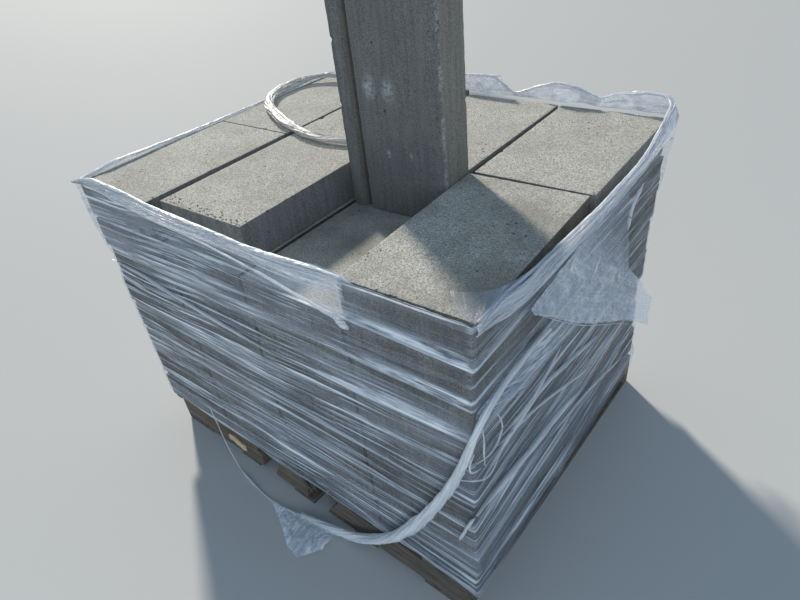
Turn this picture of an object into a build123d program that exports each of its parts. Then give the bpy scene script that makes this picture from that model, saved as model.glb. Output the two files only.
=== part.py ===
"""Pallet of concrete wall blocks, eight layers high, held together by stretch film.

One block of the top layer has been lifted out and stands on its end at the back
of the place it left. Millimetres, +X along the pallet's long side, +Y across it,
+Z up. The origin is the middle of the stack's footprint, on the ground.
"""

import os
from math import radians, tan

from build123d import *

# Concrete block: it lies with its grooved bed face down, long side along Y
BLOCK_WIDTH = 305.0
BLOCK_LENGTH = 508.0
BLOCK_HEIGHT = 102.0
REBATE_WIDTH = 16.0
REBATE_HEIGHT = 12.0
LIP_WIDTH = 27.0
LIP_RECESS = 3.0
GROOVE_WIDTH = 25.0
GROOVE_DEPTH = 18.0

# Stack: the shifts are those of the seven full courses, from the lowest
COLUMNS = 4
ROWS = 2
LAYERS = 8
COLUMN_GAP = 10.0
ROW_GAP = 5.0
BED_GAP = 0.3
COURSE_SHIFTS_X = (5.0, -3.0, -9.0, 2.0, 0.0, 4.0, 9.0)
COURSE_SHIFTS_Y = (-3.0, 2.0, 4.0, 0.0, -2.0, 2.0, -7.0)

# Blocks left in the top course: column, row, whether it is flipped, and how far
# it was left from its place along X, along Y and in degrees
TOP_BLOCKS = {
    "top_block_front_left": (0, 0, True, -14.0, 1.0, 0.3),
    "top_block_front_second": (1, 0, False, 0.0, 38.0, 0.7),
    "top_block_front_right": (3, 0, True, 6.0, -1.0, 1.8),
    "top_block_back_left": (0, 1, False, -16.0, 0.0, 0.4),
    "top_block_back_second": (1, 1, False, -16.0, 36.0, 0.4),
    "top_block_back_third": (2, 1, True, 0.0, 0.0, 0.0),
    "top_block_back_right": (3, 1, False, 4.0, 3.0, 0.8),
}

# Lifted block, stood on its end at the back right of its old place
STANDING_COLUMN = 2
STANDING_SIDE_GAP = 1.0
STANDING_BACK_GAP = 4.5
STANDING_TURN = 2.2

# Pallet: the stack stands over its ends and sides
STACK_OVERHANG_X = 15.5
STACK_OVERHANG_Y = 2.5
STRINGER_WIDTH = 38.0
STRINGER_HEIGHT = 89.0
BOARD_THICKNESS = 16.0
LEAD_BOARD_WIDTH = 140.0
INNER_BOARD_WIDTH = 89.0
TOP_INNER_BOARDS = 5
BOTTOM_INNER_BOARDS = 3
PALLET_SHIFT_X = 15.0
PALLET_SHIFT_Y = -8.0
PALLET_TURN = -1.8

# The near stringer is split into three. Each break starts at an X on the pallet,
# is open at the bottom by its gap, and its right side leans back at the top
FIRST_BREAK_X = -190.0
FIRST_BREAK_GAP = 58.0
FIRST_BREAK_LEAN = 48.0
SECOND_BREAK_X = 20.0
SECOND_BREAK_GAP = 87.0
SECOND_BREAK_LEAN = 60.0
TEAR_STEP = 9.0

# Stretch film
FILM_THICKNESS = 1.5
FILM_CLEARANCE = 0.3
FILM_CORNER_RADIUS = 1.8
FILM_HEM_HEIGHT = 3.0
FRONT_RIM_HEIGHT = 5.0
BACK_RIM_HEIGHT = 58.0
FLAP_THICKNESS = 12.0
TAIL_END_HEIGHT = 12.0
ROPE_RADIUS = 9.0
STRAND_RADIUS = 2.5
ROPE_SIDES = 6

# Outline of the loose flap on the right side, as distances back from the wrap's
# front and down from the top of the stack
FLAP_OUTLINE = (
    (199.0, 104.0),
    (379.0, 64.0),
    (719.0, 109.0),
    (899.0, 439.0),
    (1036.0, 545.0),
    (1022.0, 694.0),
    (789.0, 545.0),
    (559.0, 404.0),
    (364.0, 245.0),
)
# Outline on the ground of the torn end that fans out from the tail, measured
# from the wrap's front right corner
TAIL_END_OUTLINE = (
    (-455.0, -46.0),
    (-510.0, -50.4),
    (-597.0, -63.4),
    (-700.0, -75.0),
    (-604.0, -122.0),
    (-536.0, -162.0),
    (-490.0, -132.0),
)
# Route of the gathered tail: it leaves the film beside the front corner, hangs
# across the front and ends on the ground. It is measured from the wrap's front
# right corner and the ground
TAIL_ROUTE = (
    (9.5, 119.3, 782.0),
    (9.5, 64.3, 776.0),
    (14.3, 9.3, 758.0),
    (7.3, -14.7, 700.0),
    (-16.7, -9.7, 610.0),
    (-52.7, -9.3, 510.0),
    (-94.7, -9.3, 412.0),
    (-143.7, -9.7, 315.0),
    (-199.7, -14.7, 222.0),
    (-266.7, -20.7, 135.0),
    (-340.7, -26.7, 70.0),
    (-422.7, -31.7, 28.0),
    (-510.7, -40.7, 13.0),
    (-598.7, -53.7, 10.5),
)
# Route of the thin strand that runs on from the tail and up to the film again,
# measured from the same corner
STRAND_ROUTE = (
    (-612.7, -56.7, 6.0),
    (-670.7, -62.7, 4.0),
    (-732.7, -64.7, 3.5),
    (-790.7, -57.7, 3.5),
    (-850.7, -47.7, 3.5),
    (-902.7, -36.7, 6.0),
    (-945.7, -25.7, 36.0),
    (-978.7, -15.7, 88.0),
    (-1002.7, -6.7, 148.0),
    (-1018.7, -3.2, 205.0),
)
# Route of the loop of gathered film on the blocks, from the left rim to behind
# the standing block and back along the far rim, measured from the wrap's back
# left corner and the top of the stack
LOOP_ROUTE = (
    (13.6, -399.4, 8.3),
    (84.6, -437.4, 8.3),
    (164.6, -485.4, 8.3),
    (249.6, -531.4, 11.0),
    (344.6, -563.4, 12.0),
    (444.6, -571.4, 12.0),
    (544.6, -547.4, 11.0),
    (614.6, -487.4, 10.0),
    (632.6, -399.4, 10.0),
    (594.6, -299.4, 12.0),
    (514.6, -214.4, 20.0),
    (414.6, -149.4, 30.0),
    (299.6, -109.4, 38.0),
    (194.6, -113.4, 42.0),
    (104.6, -159.4, 40.0),
    (44.6, -229.4, 30.0),
    (16.6, -309.4, 16.0),
)

deck_top = 2 * BOARD_THICKNESS + STRINGER_HEIGHT
course_pitch = BLOCK_HEIGHT + BED_GAP
column_pitch = BLOCK_WIDTH + COLUMN_GAP
row_pitch = BLOCK_LENGTH + ROW_GAP
stack_top = deck_top + LAYERS * course_pitch
top_bed = stack_top - BLOCK_HEIGHT
pallet_length = COLUMNS * column_pitch - COLUMN_GAP - 2 * STACK_OVERHANG_X
pallet_width = ROWS * row_pitch - ROW_GAP - 2 * STACK_OVERHANG_Y


def column_x(column):
    """Middle of a column of blocks, counted from the left."""
    return (column - (COLUMNS - 1) / 2) * column_pitch


def row_y(row):
    """Middle of a row of blocks, counted from the front."""
    return (row - (ROWS - 1) / 2) * row_pitch


def block(flipped=False):
    """One block on its bed face, its middle at the origin of the bed plane.

    The bed face has a rebate along one long edge, then a lip and a round-topped
    groove. A flipped block has them along the other long edge.
    """
    side = BLOCK_WIDTH / 2
    end = BLOCK_LENGTH / 2
    crown = GROOVE_WIDTH / 2
    lip_start = -side + REBATE_WIDTH
    groove_start = lip_start + LIP_WIDTH
    groove_end = groove_start + GROOVE_WIDTH
    groove_middle = (groove_start + groove_end) / 2
    with BuildPart() as part:
        with BuildSketch(Plane.XZ.offset(-end)):
            with BuildLine():
                Polyline(
                    (groove_end, GROOVE_DEPTH - crown),
                    (groove_end, 0),
                    (side, 0),
                    (side, BLOCK_HEIGHT),
                    (-side, BLOCK_HEIGHT),
                    (-side, REBATE_HEIGHT),
                    (lip_start, REBATE_HEIGHT),
                    (lip_start, LIP_RECESS),
                    (groove_start, LIP_RECESS),
                    (groove_start, GROOVE_DEPTH - crown),
                )
                ThreePointArc(
                    (groove_start, GROOVE_DEPTH - crown),
                    (groove_middle, GROOVE_DEPTH),
                    (groove_end, GROOVE_DEPTH - crown),
                )
            make_face()
        extrude(amount=BLOCK_LENGTH)
    solid = part.part
    return solid.rotate(Axis.Z, 180) if flipped else solid


def laid(column, row, z, flipped, shift_x=0.0, shift_y=0.0, turn=0.0):
    """A block in its place in a course, with its own small shift and turn."""
    place = Location((column_x(column) + shift_x, row_y(row) + shift_y, z), (0, 0, turn))
    return place * block(flipped)


def course(layer):
    """A full course of blocks, the lowest being layer 1."""
    z = deck_top + BED_GAP + (layer - 1) * course_pitch
    blocks = []
    for column in range(COLUMNS):
        for row in range(ROWS):
            flipped = (2 * column + 3 * row + layer) % 3 == 0
            blocks.append(
                laid(column, row, z, flipped, COURSE_SHIFTS_X[layer - 1], COURSE_SHIFTS_Y[layer - 1])
            )
    return blocks


def top_course():
    """The blocks left in the top course, each where it was left."""
    return {
        name: laid(column, row, top_bed, flipped, shift_x, shift_y, turn)
        for name, (column, row, flipped, shift_x, shift_y, turn) in TOP_BLOCKS.items()
    }


def standing_block():
    """The lifted block on its end, its grooved bed face to the front.

    It is turned about the lower front corner of its right side.
    """
    upright = Pos(-BLOCK_WIDTH / 2, 0, BLOCK_LENGTH / 2) * block().rotate(Axis.X, -90)
    next_block = column_x(STANDING_COLUMN + 1) - BLOCK_WIDTH / 2
    corner_x = next_block - STANDING_SIDE_GAP
    corner_y = row_y(1) - BLOCK_LENGTH / 2 - STANDING_BACK_GAP - BLOCK_HEIGHT
    return Location((corner_x, corner_y, top_bed), (0, 0, STANDING_TURN)) * upright


def on_pallet(solid):
    """Moves a pallet piece from the pallet's own middle to where the pallet stands."""
    return Location((PALLET_SHIFT_X, PALLET_SHIFT_Y, 0), (0, 0, PALLET_TURN)) * solid


def board(x, width, z):
    """A deck board across the pallet, its middle at x and its underside at z."""
    return Pos(x, 0, z + BOARD_THICKNESS / 2) * Box(width, pallet_width, BOARD_THICKNESS)


def deck(inner_boards, z):
    """Boards of one deck from left to right: a wide one at each end, narrower between."""
    lead_x = (pallet_length - LEAD_BOARD_WIDTH) / 2
    free = pallet_length - 2 * LEAD_BOARD_WIDTH - inner_boards * INNER_BOARD_WIDTH
    pitch = INNER_BOARD_WIDTH + free / (inner_boards + 1)
    middles = [(number - (inner_boards - 1) / 2) * pitch for number in range(inner_boards)]
    boards = [board(x, INNER_BOARD_WIDTH, z) for x in middles]
    return [board(-lead_x, LEAD_BOARD_WIDTH, z)] + boards + [board(lead_x, LEAD_BOARD_WIDTH, z)]


def stringer(y):
    """A whole stringer along the pallet, its middle at y."""
    z = BOARD_THICKNESS + STRINGER_HEIGHT / 2
    return Pos(0, y, z) * Box(pallet_length, STRINGER_WIDTH, STRINGER_HEIGHT)


def stringer_piece(y, start, start_lean, end, end_step):
    """A length of the split stringer with a torn, leaning start and a stepped end."""
    low = BOARD_THICKNESS
    high = low + STRINGER_HEIGHT
    middle = (low + high) / 2
    with BuildPart() as part:
        with BuildSketch(Plane.XZ.offset(-y - STRINGER_WIDTH / 2)):
            with BuildLine():
                Polyline(
                    (start, low),
                    (end, low),
                    (end + end_step, middle),
                    (end - end_step, high),
                    (start + start_lean, high),
                    (start + start_lean / 2, middle),
                    close=True,
                )
            make_face()
        extrude(amount=STRINGER_WIDTH)
    return part.part


def smooth_route(points):
    """A path through the points whose corners are as round as the runs allow."""
    radii = []
    for before, corner, after in zip(points, points[1:], points[2:]):
        run_in = Vector(*corner) - Vector(*before)
        run_out = Vector(*after) - Vector(*corner)
        half_turn = radians(run_in.get_angle(run_out)) / 2
        radii.append(0.45 * min(run_in.length, run_out.length) / tan(half_turn))
    return FilletPolyline(*points, radius=radii)


def film_rope(points, radius):
    """A rope of gathered film along a route, as one six-sided tube."""
    with BuildPart() as part:
        with BuildLine() as route:
            smooth_route(points)
        path = route.line
        with BuildSketch(Plane(origin=path @ 0, z_dir=path % 0)):
            RegularPolygon(radius, ROPE_SIDES)
        sweep(path=path)
    return part.part


def film_wrap(stack):
    """The wrap round the stack's box, with its rim low at the front and near left."""
    length = stack.size.X + 2 * (FILM_CLEARANCE + FILM_THICKNESS)
    width = stack.size.Y + 2 * (FILM_CLEARANCE + FILM_THICKNESS)
    middle = stack.center()
    low = deck_top + FILM_HEM_HEIGHT
    high = stack_top + BACK_RIM_HEIGHT
    with BuildPart() as part:
        with BuildSketch(Plane.XY.offset(low)):
            with Locations((middle.X, middle.Y)):
                RectangleRounded(length, width, FILM_CORNER_RADIUS)
                RectangleRounded(
                    length - 2 * FILM_THICKNESS,
                    width - 2 * FILM_THICKNESS,
                    FILM_CORNER_RADIUS - FILM_THICKNESS,
                    mode=Mode.SUBTRACT,
                )
        extrude(amount=high - low)
        with Locations((middle.X - length / 2, middle.Y - width / 2, stack_top + FRONT_RIM_HEIGHT)):
            Box(
                length - FILM_THICKNESS - FILM_CORNER_RADIUS,
                width / 2,
                BACK_RIM_HEIGHT,
                align=Align.MIN,
                mode=Mode.SUBTRACT,
            )
    return part.part


def film_flap(right, front):
    """The loose flap that hangs on the wrap's right side."""
    with BuildPart() as part:
        with BuildSketch(Plane.YZ.offset(right + FILM_CLEARANCE)):
            with BuildLine():
                Polyline([(front + back, stack_top - down) for back, down in FLAP_OUTLINE], close=True)
            make_face()
        extrude(amount=FLAP_THICKNESS)
    return part.part


def film_tail_end(right, front):
    """The torn end of the tail, fanned out on the ground."""
    with BuildPart() as part:
        with BuildSketch():
            with BuildLine():
                Polyline([(right + x, front + y) for x, y in TAIL_END_OUTLINE], close=True)
            make_face()
        extrude(amount=TAIL_END_HEIGHT)
    return part.part


nodes = {}
for layer in range(1, LAYERS):
    nodes[f"block_course_{layer}"] = Compound(children=course(layer))
nodes.update(top_course())
nodes["standing_block"] = standing_block()
stack_box = Compound(children=[s for node in nodes.values() for s in node.solids()]).bounding_box()

stringer_y = (pallet_width - STRINGER_WIDTH) / 2
half_length = pallet_length / 2
nodes["stringer_middle"] = on_pallet(stringer(0))
nodes["stringer_back"] = on_pallet(stringer(stringer_y))
nodes["stringer_front_left"] = on_pallet(
    stringer_piece(-stringer_y, -half_length, 0, FIRST_BREAK_X, TEAR_STEP)
)
nodes["stringer_front_middle"] = on_pallet(
    stringer_piece(
        -stringer_y, FIRST_BREAK_X + FIRST_BREAK_GAP, FIRST_BREAK_LEAN, SECOND_BREAK_X, TEAR_STEP
    )
)
nodes["stringer_front_right"] = on_pallet(
    stringer_piece(
        -stringer_y, SECOND_BREAK_X + SECOND_BREAK_GAP, SECOND_BREAK_LEAN, half_length, 0
    )
)
for number, solid in enumerate(deck(TOP_INNER_BOARDS, BOARD_THICKNESS + STRINGER_HEIGHT), 1):
    nodes[f"top_deck_board_{number}"] = on_pallet(solid)
for number, solid in enumerate(deck(BOTTOM_INNER_BOARDS, 0), 1):
    nodes[f"bottom_deck_board_{number}"] = on_pallet(solid)

film_side = FILM_CLEARANCE + FILM_THICKNESS
film_left = stack_box.min.X - film_side
film_right = stack_box.max.X + film_side
film_front = stack_box.min.Y - film_side
film_back = stack_box.max.Y + film_side
tail = [(film_right + x, film_front + y, z) for x, y, z in TAIL_ROUTE]
strand = [(film_right + x, film_front + y, z) for x, y, z in STRAND_ROUTE]
loop = [(film_left + x, film_back + y, stack_top + z) for x, y, z in LOOP_ROUTE]
nodes["stretch_film"] = film_wrap(stack_box)
nodes["film_flap"] = film_flap(film_right, film_front)
nodes["film_tail"] = film_rope(tail, ROPE_RADIUS)
nodes["film_tail_end"] = film_tail_end(film_right, film_front)
nodes["film_tail_strand"] = film_rope(strand, STRAND_RADIUS)
nodes["film_loop"] = film_rope(loop, ROPE_RADIUS)

os.makedirs("parts", exist_ok=True)
for name, solid in nodes.items():
    export_step(solid, f"parts/{name}.step")
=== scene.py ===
"""Looks of a pallet of concrete wall blocks in stretch film.

Every piece is in metres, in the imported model's own frame: +X along the pallet's
long side, +Y from its front to its back, +Z up, the origin on the ground.
"""

from __future__ import annotations

import logging
import math
import random
from dataclasses import dataclass
from enum import Enum
from typing import Callable, Sequence, Union

import bmesh
import bpy
from mathutils import Matrix, Vector, kdtree, noise


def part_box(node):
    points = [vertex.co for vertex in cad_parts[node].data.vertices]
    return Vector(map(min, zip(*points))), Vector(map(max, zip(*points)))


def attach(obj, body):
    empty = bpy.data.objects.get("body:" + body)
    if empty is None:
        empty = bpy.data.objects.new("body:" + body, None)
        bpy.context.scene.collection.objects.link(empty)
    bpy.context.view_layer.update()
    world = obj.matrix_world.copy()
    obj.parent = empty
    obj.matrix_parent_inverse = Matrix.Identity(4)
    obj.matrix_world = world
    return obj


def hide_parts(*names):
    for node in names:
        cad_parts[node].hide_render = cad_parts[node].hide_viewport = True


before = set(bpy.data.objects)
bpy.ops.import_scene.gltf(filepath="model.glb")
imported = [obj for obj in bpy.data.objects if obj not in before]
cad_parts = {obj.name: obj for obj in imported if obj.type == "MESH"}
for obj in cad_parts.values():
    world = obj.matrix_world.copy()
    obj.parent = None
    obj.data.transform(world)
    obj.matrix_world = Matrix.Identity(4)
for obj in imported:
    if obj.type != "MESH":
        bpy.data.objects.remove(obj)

log = logging.getLogger("pallet")
BODY = "root"
Place = tuple[float, float]
Point = tuple[float, float, float]
Colour = tuple[float, float, float, float]
Socket = bpy.types.NodeSocket
Value = Union[Socket, float, Point, Colour]
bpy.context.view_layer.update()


class Slot(Enum):
    """The record's material slots."""

    CONCRETE = "concrete"
    TIMBER = "timber"
    FILM = "film"


class Side(Enum):
    """The four sides of the stack, in the order in which the film goes round them."""

    FRONT = 0
    RIGHT = 1
    BACK = 2
    LEFT = 3


class Grain(Enum):
    """The direction in which a piece of timber was sawn, as a stretch of its pattern."""

    ALONG_X = (1.0, 16.0, 16.0)
    ALONG_Y = (16.0, 1.0, 16.0)


class Graph:
    """A material's nodes, with short calls to add and join them."""

    def __init__(self, name: str) -> None:
        """Starts a material with a Principled shader.

        Args:
            name: The material's name.
        """
        self.material = bpy.data.materials.new(name)
        self.material.use_nodes = True
        self.tree = self.material.node_tree
        self.shader = self.tree.nodes["Principled BSDF"]

    def add(self, kind: str, **settings: str | bool) -> bpy.types.Node:
        """Adds a node.

        Args:
            kind: Blender's own name for the kind of node.
            settings: The node's properties.

        Returns:
            The new node.
        """
        node = self.tree.nodes.new(kind)
        for name, value in settings.items():
            setattr(node, name, value)
        return node

    def put(self, socket: Socket, value: Value) -> None:
        """Joins a socket to an output, or sets it to a plain value.

        Args:
            socket: The socket.
            value: The output, or the plain value.
        """
        if isinstance(value, bpy.types.NodeSocket):
            self.tree.links.new(value, socket)
        else:
            socket.default_value = value

    def set(self, **sockets: Value) -> None:
        """Sets the shader's sockets, named with underscores for spaces."""
        for name, value in sockets.items():
            self.put(self.shader.inputs[name.replace("_", " ")], value)

    def place(self) -> Socket:
        """The piece's own coordinates, in metres."""
        return self.add("ShaderNodeTexCoord").outputs["Object"]

    def cloth(self) -> Socket:
        """The piece's UV map, which film has in metres along and across the web."""
        return self.add("ShaderNodeTexCoord").outputs["UV"]

    def stretch(
        self, vector: Socket, scale: Point, turn: float = 0.0, move: Point = (0.0, 0.0, 0.0)
    ) -> Socket:
        """Scales, turns and shifts a pattern's coordinates.

        Args:
            vector: The coordinates.
            scale: The factor on each axis.
            turn: The turn about Z, in degrees.
            move: The shift.

        Returns:
            The new coordinates.
        """
        node = self.add("ShaderNodeMapping")
        self.put(node.inputs["Vector"], vector)
        node.inputs["Scale"].default_value = scale
        node.inputs["Rotation"].default_value = (0.0, 0.0, math.radians(turn))
        node.inputs["Location"].default_value = move
        return node.outputs["Vector"]

    def noise(
        self, vector: Socket, scale: float, detail: float = 2.0, rough: float = 0.5, bend: float = 0.0
    ) -> Socket:
        """A noise pattern, from 0 to 1.

        Args:
            vector: The coordinates.
            scale: How many waves it has in a unit of them.
            detail: How many finer layers it has.
            rough: How strong they are.
            bend: How far it is pulled out of shape.

        Returns:
            The pattern.
        """
        node = self.add("ShaderNodeTexNoise")
        self.put(node.inputs["Vector"], vector)
        values = (("Scale", scale), ("Detail", detail), ("Roughness", rough), ("Distortion", bend))
        for name, value in values:
            node.inputs[name].default_value = value
        return node.outputs["Fac"]

    def cells(self, vector: Socket, scale: float) -> Socket:
        """Distance to the nearest of many scattered points.

        Args:
            vector: The coordinates.
            scale: How many points there are along a unit of them.

        Returns:
            The distance, as a share of the points' spacing.
        """
        node = self.add("ShaderNodeTexVoronoi")
        self.put(node.inputs["Vector"], vector)
        node.inputs["Scale"].default_value = scale
        return node.outputs["Distance"]

    def away(self, vector: Socket, point: Point, scale: Point = (1.0, 1.0, 0.0)) -> Socket:
        """Distance from a point, or from the upright line through it.

        Args:
            vector: The coordinates.
            point: The point.
            scale: How much each axis counts. Without Z it is the distance from the line.

        Returns:
            The distance, in metres.
        """
        node = self.add("ShaderNodeVectorMath", operation="DISTANCE")
        self.put(node.inputs[0], self.stretch(vector, scale))
        node.inputs[1].default_value = tuple(part * share for part, share in zip(point, scale))
        return node.outputs["Value"]

    def ramp(self, value: Socket, low: float, high: float, start: float = 0.0, end: float = 1.0) -> Socket:
        """Spreads one span of a value over another, cut off at both ends.

        Args:
            value: The value.
            low: Where its span starts.
            high: Where its span ends.
            start: What low becomes.
            end: What high becomes.

        Returns:
            The new value.
        """
        node = self.add("ShaderNodeMapRange")
        self.put(node.inputs["Value"], value)
        for name, limit in (("From Min", low), ("From Max", high), ("To Min", start), ("To Max", end)):
            node.inputs[name].default_value = limit
        return node.outputs["Result"]

    def maths(self, operation: str, first: Value, second: Value = 0.0, clamp: bool = False) -> Socket:
        """Works out one value from one or two.

        Args:
            operation: Blender's own name for the operation.
            first: The first value.
            second: The second value, where the operation has one.
            clamp: Whether the result is kept from 0 to 1.

        Returns:
            The result.
        """
        node = self.add("ShaderNodeMath", operation=operation, use_clamp=clamp)
        self.put(node.inputs[0], first)
        self.put(node.inputs[1], second)
        return node.outputs["Value"]

    def times(self, first: Value, second: Value) -> Socket:
        """The product of two values."""
        return self.maths("MULTIPLY", first, second)

    def plus(self, first: Value, second: Value, clamp: bool = False) -> Socket:
        """The sum of two values, kept from 0 to 1 where clamp is set."""
        return self.maths("ADD", first, second, clamp)

    def minus(self, first: Value, second: Value) -> Socket:
        """The first value less the second."""
        return self.maths("SUBTRACT", first, second)

    def most(self, first: Value, second: Value) -> Socket:
        """The greater of two values."""
        return self.maths("MAXIMUM", first, second)

    def blend(self, first: Socket, share: float, second: Socket, rest: float) -> Socket:
        """The sum of two patterns, each times its own share."""
        return self.plus(self.times(first, share), self.times(second, rest))

    def mix(self, share: Value, first: Value, second: Value) -> Socket:
        """Mixes two colours.

        Args:
            share: The second colour's share, from 0 to 1.
            first: The colour at 0.
            second: The colour at 1.

        Returns:
            The mixed colour.
        """
        node = self.add("ShaderNodeMix", data_type="RGBA")
        self.put(node.inputs["Factor"], share)
        self.put(node.inputs[6], first)
        self.put(node.inputs[7], second)
        return node.outputs[2]

    def axis(self, vector: Socket, name: str) -> Socket:
        """Takes one part of a vector.

        Args:
            vector: The vector.
            name: X, Y or Z.

        Returns:
            That part of it.
        """
        node = self.add("ShaderNodeSeparateXYZ")
        self.put(node.inputs[0], vector)
        return node.outputs[name]

    def bump(self, height: Socket, depth: float, strength: float = 1.0) -> Socket:
        """Bumps the surface by a pattern.

        Args:
            height: The pattern, from 0 to 1.
            depth: How deep it is, in metres.
            strength: How much of it shows, from 0 to 1.

        Returns:
            The bumped normal.
        """
        node = self.add("ShaderNodeBump")
        self.put(node.inputs["Height"], height)
        node.inputs["Distance"].default_value = depth
        node.inputs["Strength"].default_value = strength
        return node.outputs["Normal"]


@dataclass(frozen=True)
class ConcreteFinish:
    """Dry-cast concrete: sandy and speckled on its bed, smoother on its sides, which are painted darker and
    greyer as shade.

    Attributes:
        name: The material's name.
        bed: The bed's pale grains.
        bed_dark: The bed's dark grains.
        side: The sides' pale grains, painted darker than the bed as shade.
        side_dark: The sides' dark grains, painted darker than the bed as shade.
        end: The standing block's right end, its pale grains, lighter partly for its own tone and partly as
            painted light.
        end_dark: The same end's dark grains, lighter partly for its own tone and partly as painted light.
        pit: Painted shade in its holes and in a groove.
        scuff: Loose dust.
        stain: How dark its cloudy patches are, from 0 to 1.
    """

    name: str = "dry_cast_concrete"
    bed: Colour = (0.69, 0.67, 0.61, 1.0)
    bed_dark: Colour = (0.23, 0.215, 0.18, 1.0)
    side: Colour = (0.225, 0.225, 0.21, 1.0)
    side_dark: Colour = (0.105, 0.105, 0.10, 1.0)
    end: Colour = (0.36, 0.335, 0.29, 1.0)
    end_dark: Colour = (0.17, 0.155, 0.13, 1.0)
    pit: Colour = (0.045, 0.04, 0.035, 1.0)
    scuff: Colour = (0.42, 0.43, 0.42, 1.0)
    stain: float = 0.34

    def material(
        self,
        scuffs: Sequence[tuple[Point, float]] = (),
        arris: Place = (0.0, 0.0),
        groove: Place = (0.0, 0.0),
    ) -> bpy.types.Material:
        """Makes the material.

        Args:
            scuffs: The middle and radius of each pale scrape, in metres.
            arris: X and Y of an upright edge that has crumbled pale.
            groove: X and Y of an upright groove that is painted in shade.

        Returns:
            The material, on the piece's own coordinates.
        """
        graph = Graph(self.name if not scuffs else self.name + "_scuffed")
        place = graph.place()
        sand = graph.noise(place, 320.0, 2.0, 0.7)
        grain = graph.blend(sand, 0.7, graph.noise(place, 700.0, 2.0, 0.6), 0.3)
        streak = graph.noise(graph.stretch(place, (90.0, 90.0, 7.0)), 1.0, 3.0, 0.6)
        normal = graph.add("ShaderNodeNewGeometry").outputs["Normal"]
        flat = graph.ramp(graph.maths("ABSOLUTE", graph.axis(normal, "Z")), 0.55, 0.8)
        bed = graph.mix(graph.ramp(grain, 0.40, 0.58), self.bed_dark, self.bed)
        tone = graph.ramp(graph.blend(streak, 0.22, grain, 0.78), 0.40, 0.60)
        # Painted shade: every side takes the darker side colours, the bed the pale ones.
        colour = graph.mix(flat, graph.mix(tone, self.side_dark, self.side), bed)
        cloudy = graph.ramp(graph.noise(place, 6.0, 4.0, 0.62), 0.38, 0.66, 0.0, self.stain)
        colour = graph.mix(cloudy, colour, graph.mix(flat, self.side_dark, self.bed_dark))
        pits = self.pits(graph, place)
        # Painted shade: the holes are darkened almost to black.
        colour = graph.mix(graph.times(pits, 0.75), colour, self.pit)
        for middle, radius in scuffs:
            colour = self.scuffed(graph, place, colour, middle, radius)
        if scuffs:
            # The right-facing end is painted lighter: partly its own smoother tone, partly painted light on
            # that face.
            end = graph.ramp(graph.axis(normal, "X"), 0.5, 0.8)
            colour = graph.mix(graph.times(end, 0.75), colour, graph.mix(tone, self.end_dark, self.end))
            colour = self.crumbled(graph, place, colour, arris)
            # Painted shade in the groove.
            groove_shade = graph.times(graph.ramp(graph.away(place, (*groove, 0.0)), 0.020, 0.006), 0.72)
            colour = graph.mix(groove_shade, colour, self.pit)
        rough = graph.times(grain, graph.ramp(flat, 0.0, 1.0, 0.7, 1.0))
        graph.set(
            Base_Color=colour,
            Roughness=graph.ramp(sand, 0.3, 0.7, 0.86, 0.98),
            Normal=graph.bump(graph.minus(rough, pits), 0.0013, 0.9),
            Specular_IOR_Level=0.22,
        )
        return graph.material

    def pits(self, graph: Graph, place: Socket) -> Socket:
        """The small holes between the grains, and the few large ones.

        Args:
            graph: The material's nodes.
            place: The piece's coordinates.

        Returns:
            1 in a hole and 0 beside it.
        """
        small = graph.ramp(graph.cells(place, 150.0), 0.24, 0.12)
        small = graph.times(small, graph.ramp(graph.noise(place, 45.0), 0.52, 0.60))
        large = graph.ramp(graph.cells(place, 42.0), 0.17, 0.10)
        large = graph.times(large, graph.ramp(graph.noise(place, 9.0), 0.57, 0.62))
        return graph.most(small, large)

    def crumbled(self, graph: Graph, place: Socket, colour: Socket, arris: Place) -> Socket:
        """Adds the pale, pitted band along an upright edge, its holes darkened as painted shade.

        Args:
            graph: The material's nodes.
            place: The piece's coordinates.
            colour: The colour so far.
            arris: X and Y of the edge.

        Returns:
            The colour with the band on it.
        """
        ragged = graph.noise(graph.stretch(place, (1.0, 1.0, 14.0)), 1.0, 3.0, 0.6)
        wide = graph.ramp(ragged, 0.3, 0.7, 0.002, 0.011)
        near = graph.ramp(graph.minus(graph.away(place, (*arris, 0.0)), wide), 0.003, -0.002)
        rough = graph.ramp(graph.noise(place, 140.0, 3.0, 0.75), 0.46, 0.60, 0.0, 0.62)
        colour = graph.mix(graph.times(near, rough), colour, self.scuff)
        holes = graph.ramp(graph.noise(place, 85.0, 3.0, 0.7), 0.57, 0.66, 0.0, 0.6)
        # Painted shade in the band's holes.
        return graph.mix(graph.times(near, holes), colour, self.pit)

    def scuffed(self, graph: Graph, place: Socket, colour: Socket, middle: Point, radius: float) -> Socket:
        """Adds one pale scrape of loose dust, longer than it is wide.

        Args:
            graph: The material's nodes.
            place: The piece's coordinates.
            colour: The colour so far.
            middle: The scrape's middle.
            radius: Half its width.

        Returns:
            The colour with the scrape on it.
        """
        near = graph.ramp(graph.away(place, middle, (1.0, 1.0, 0.62)), radius, 0.2 * radius)
        rough = graph.ramp(graph.noise(place, 95.0, 4.0, 0.7), 0.36, 0.60)
        return graph.mix(graph.times(near, rough), colour, self.scuff)


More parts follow.
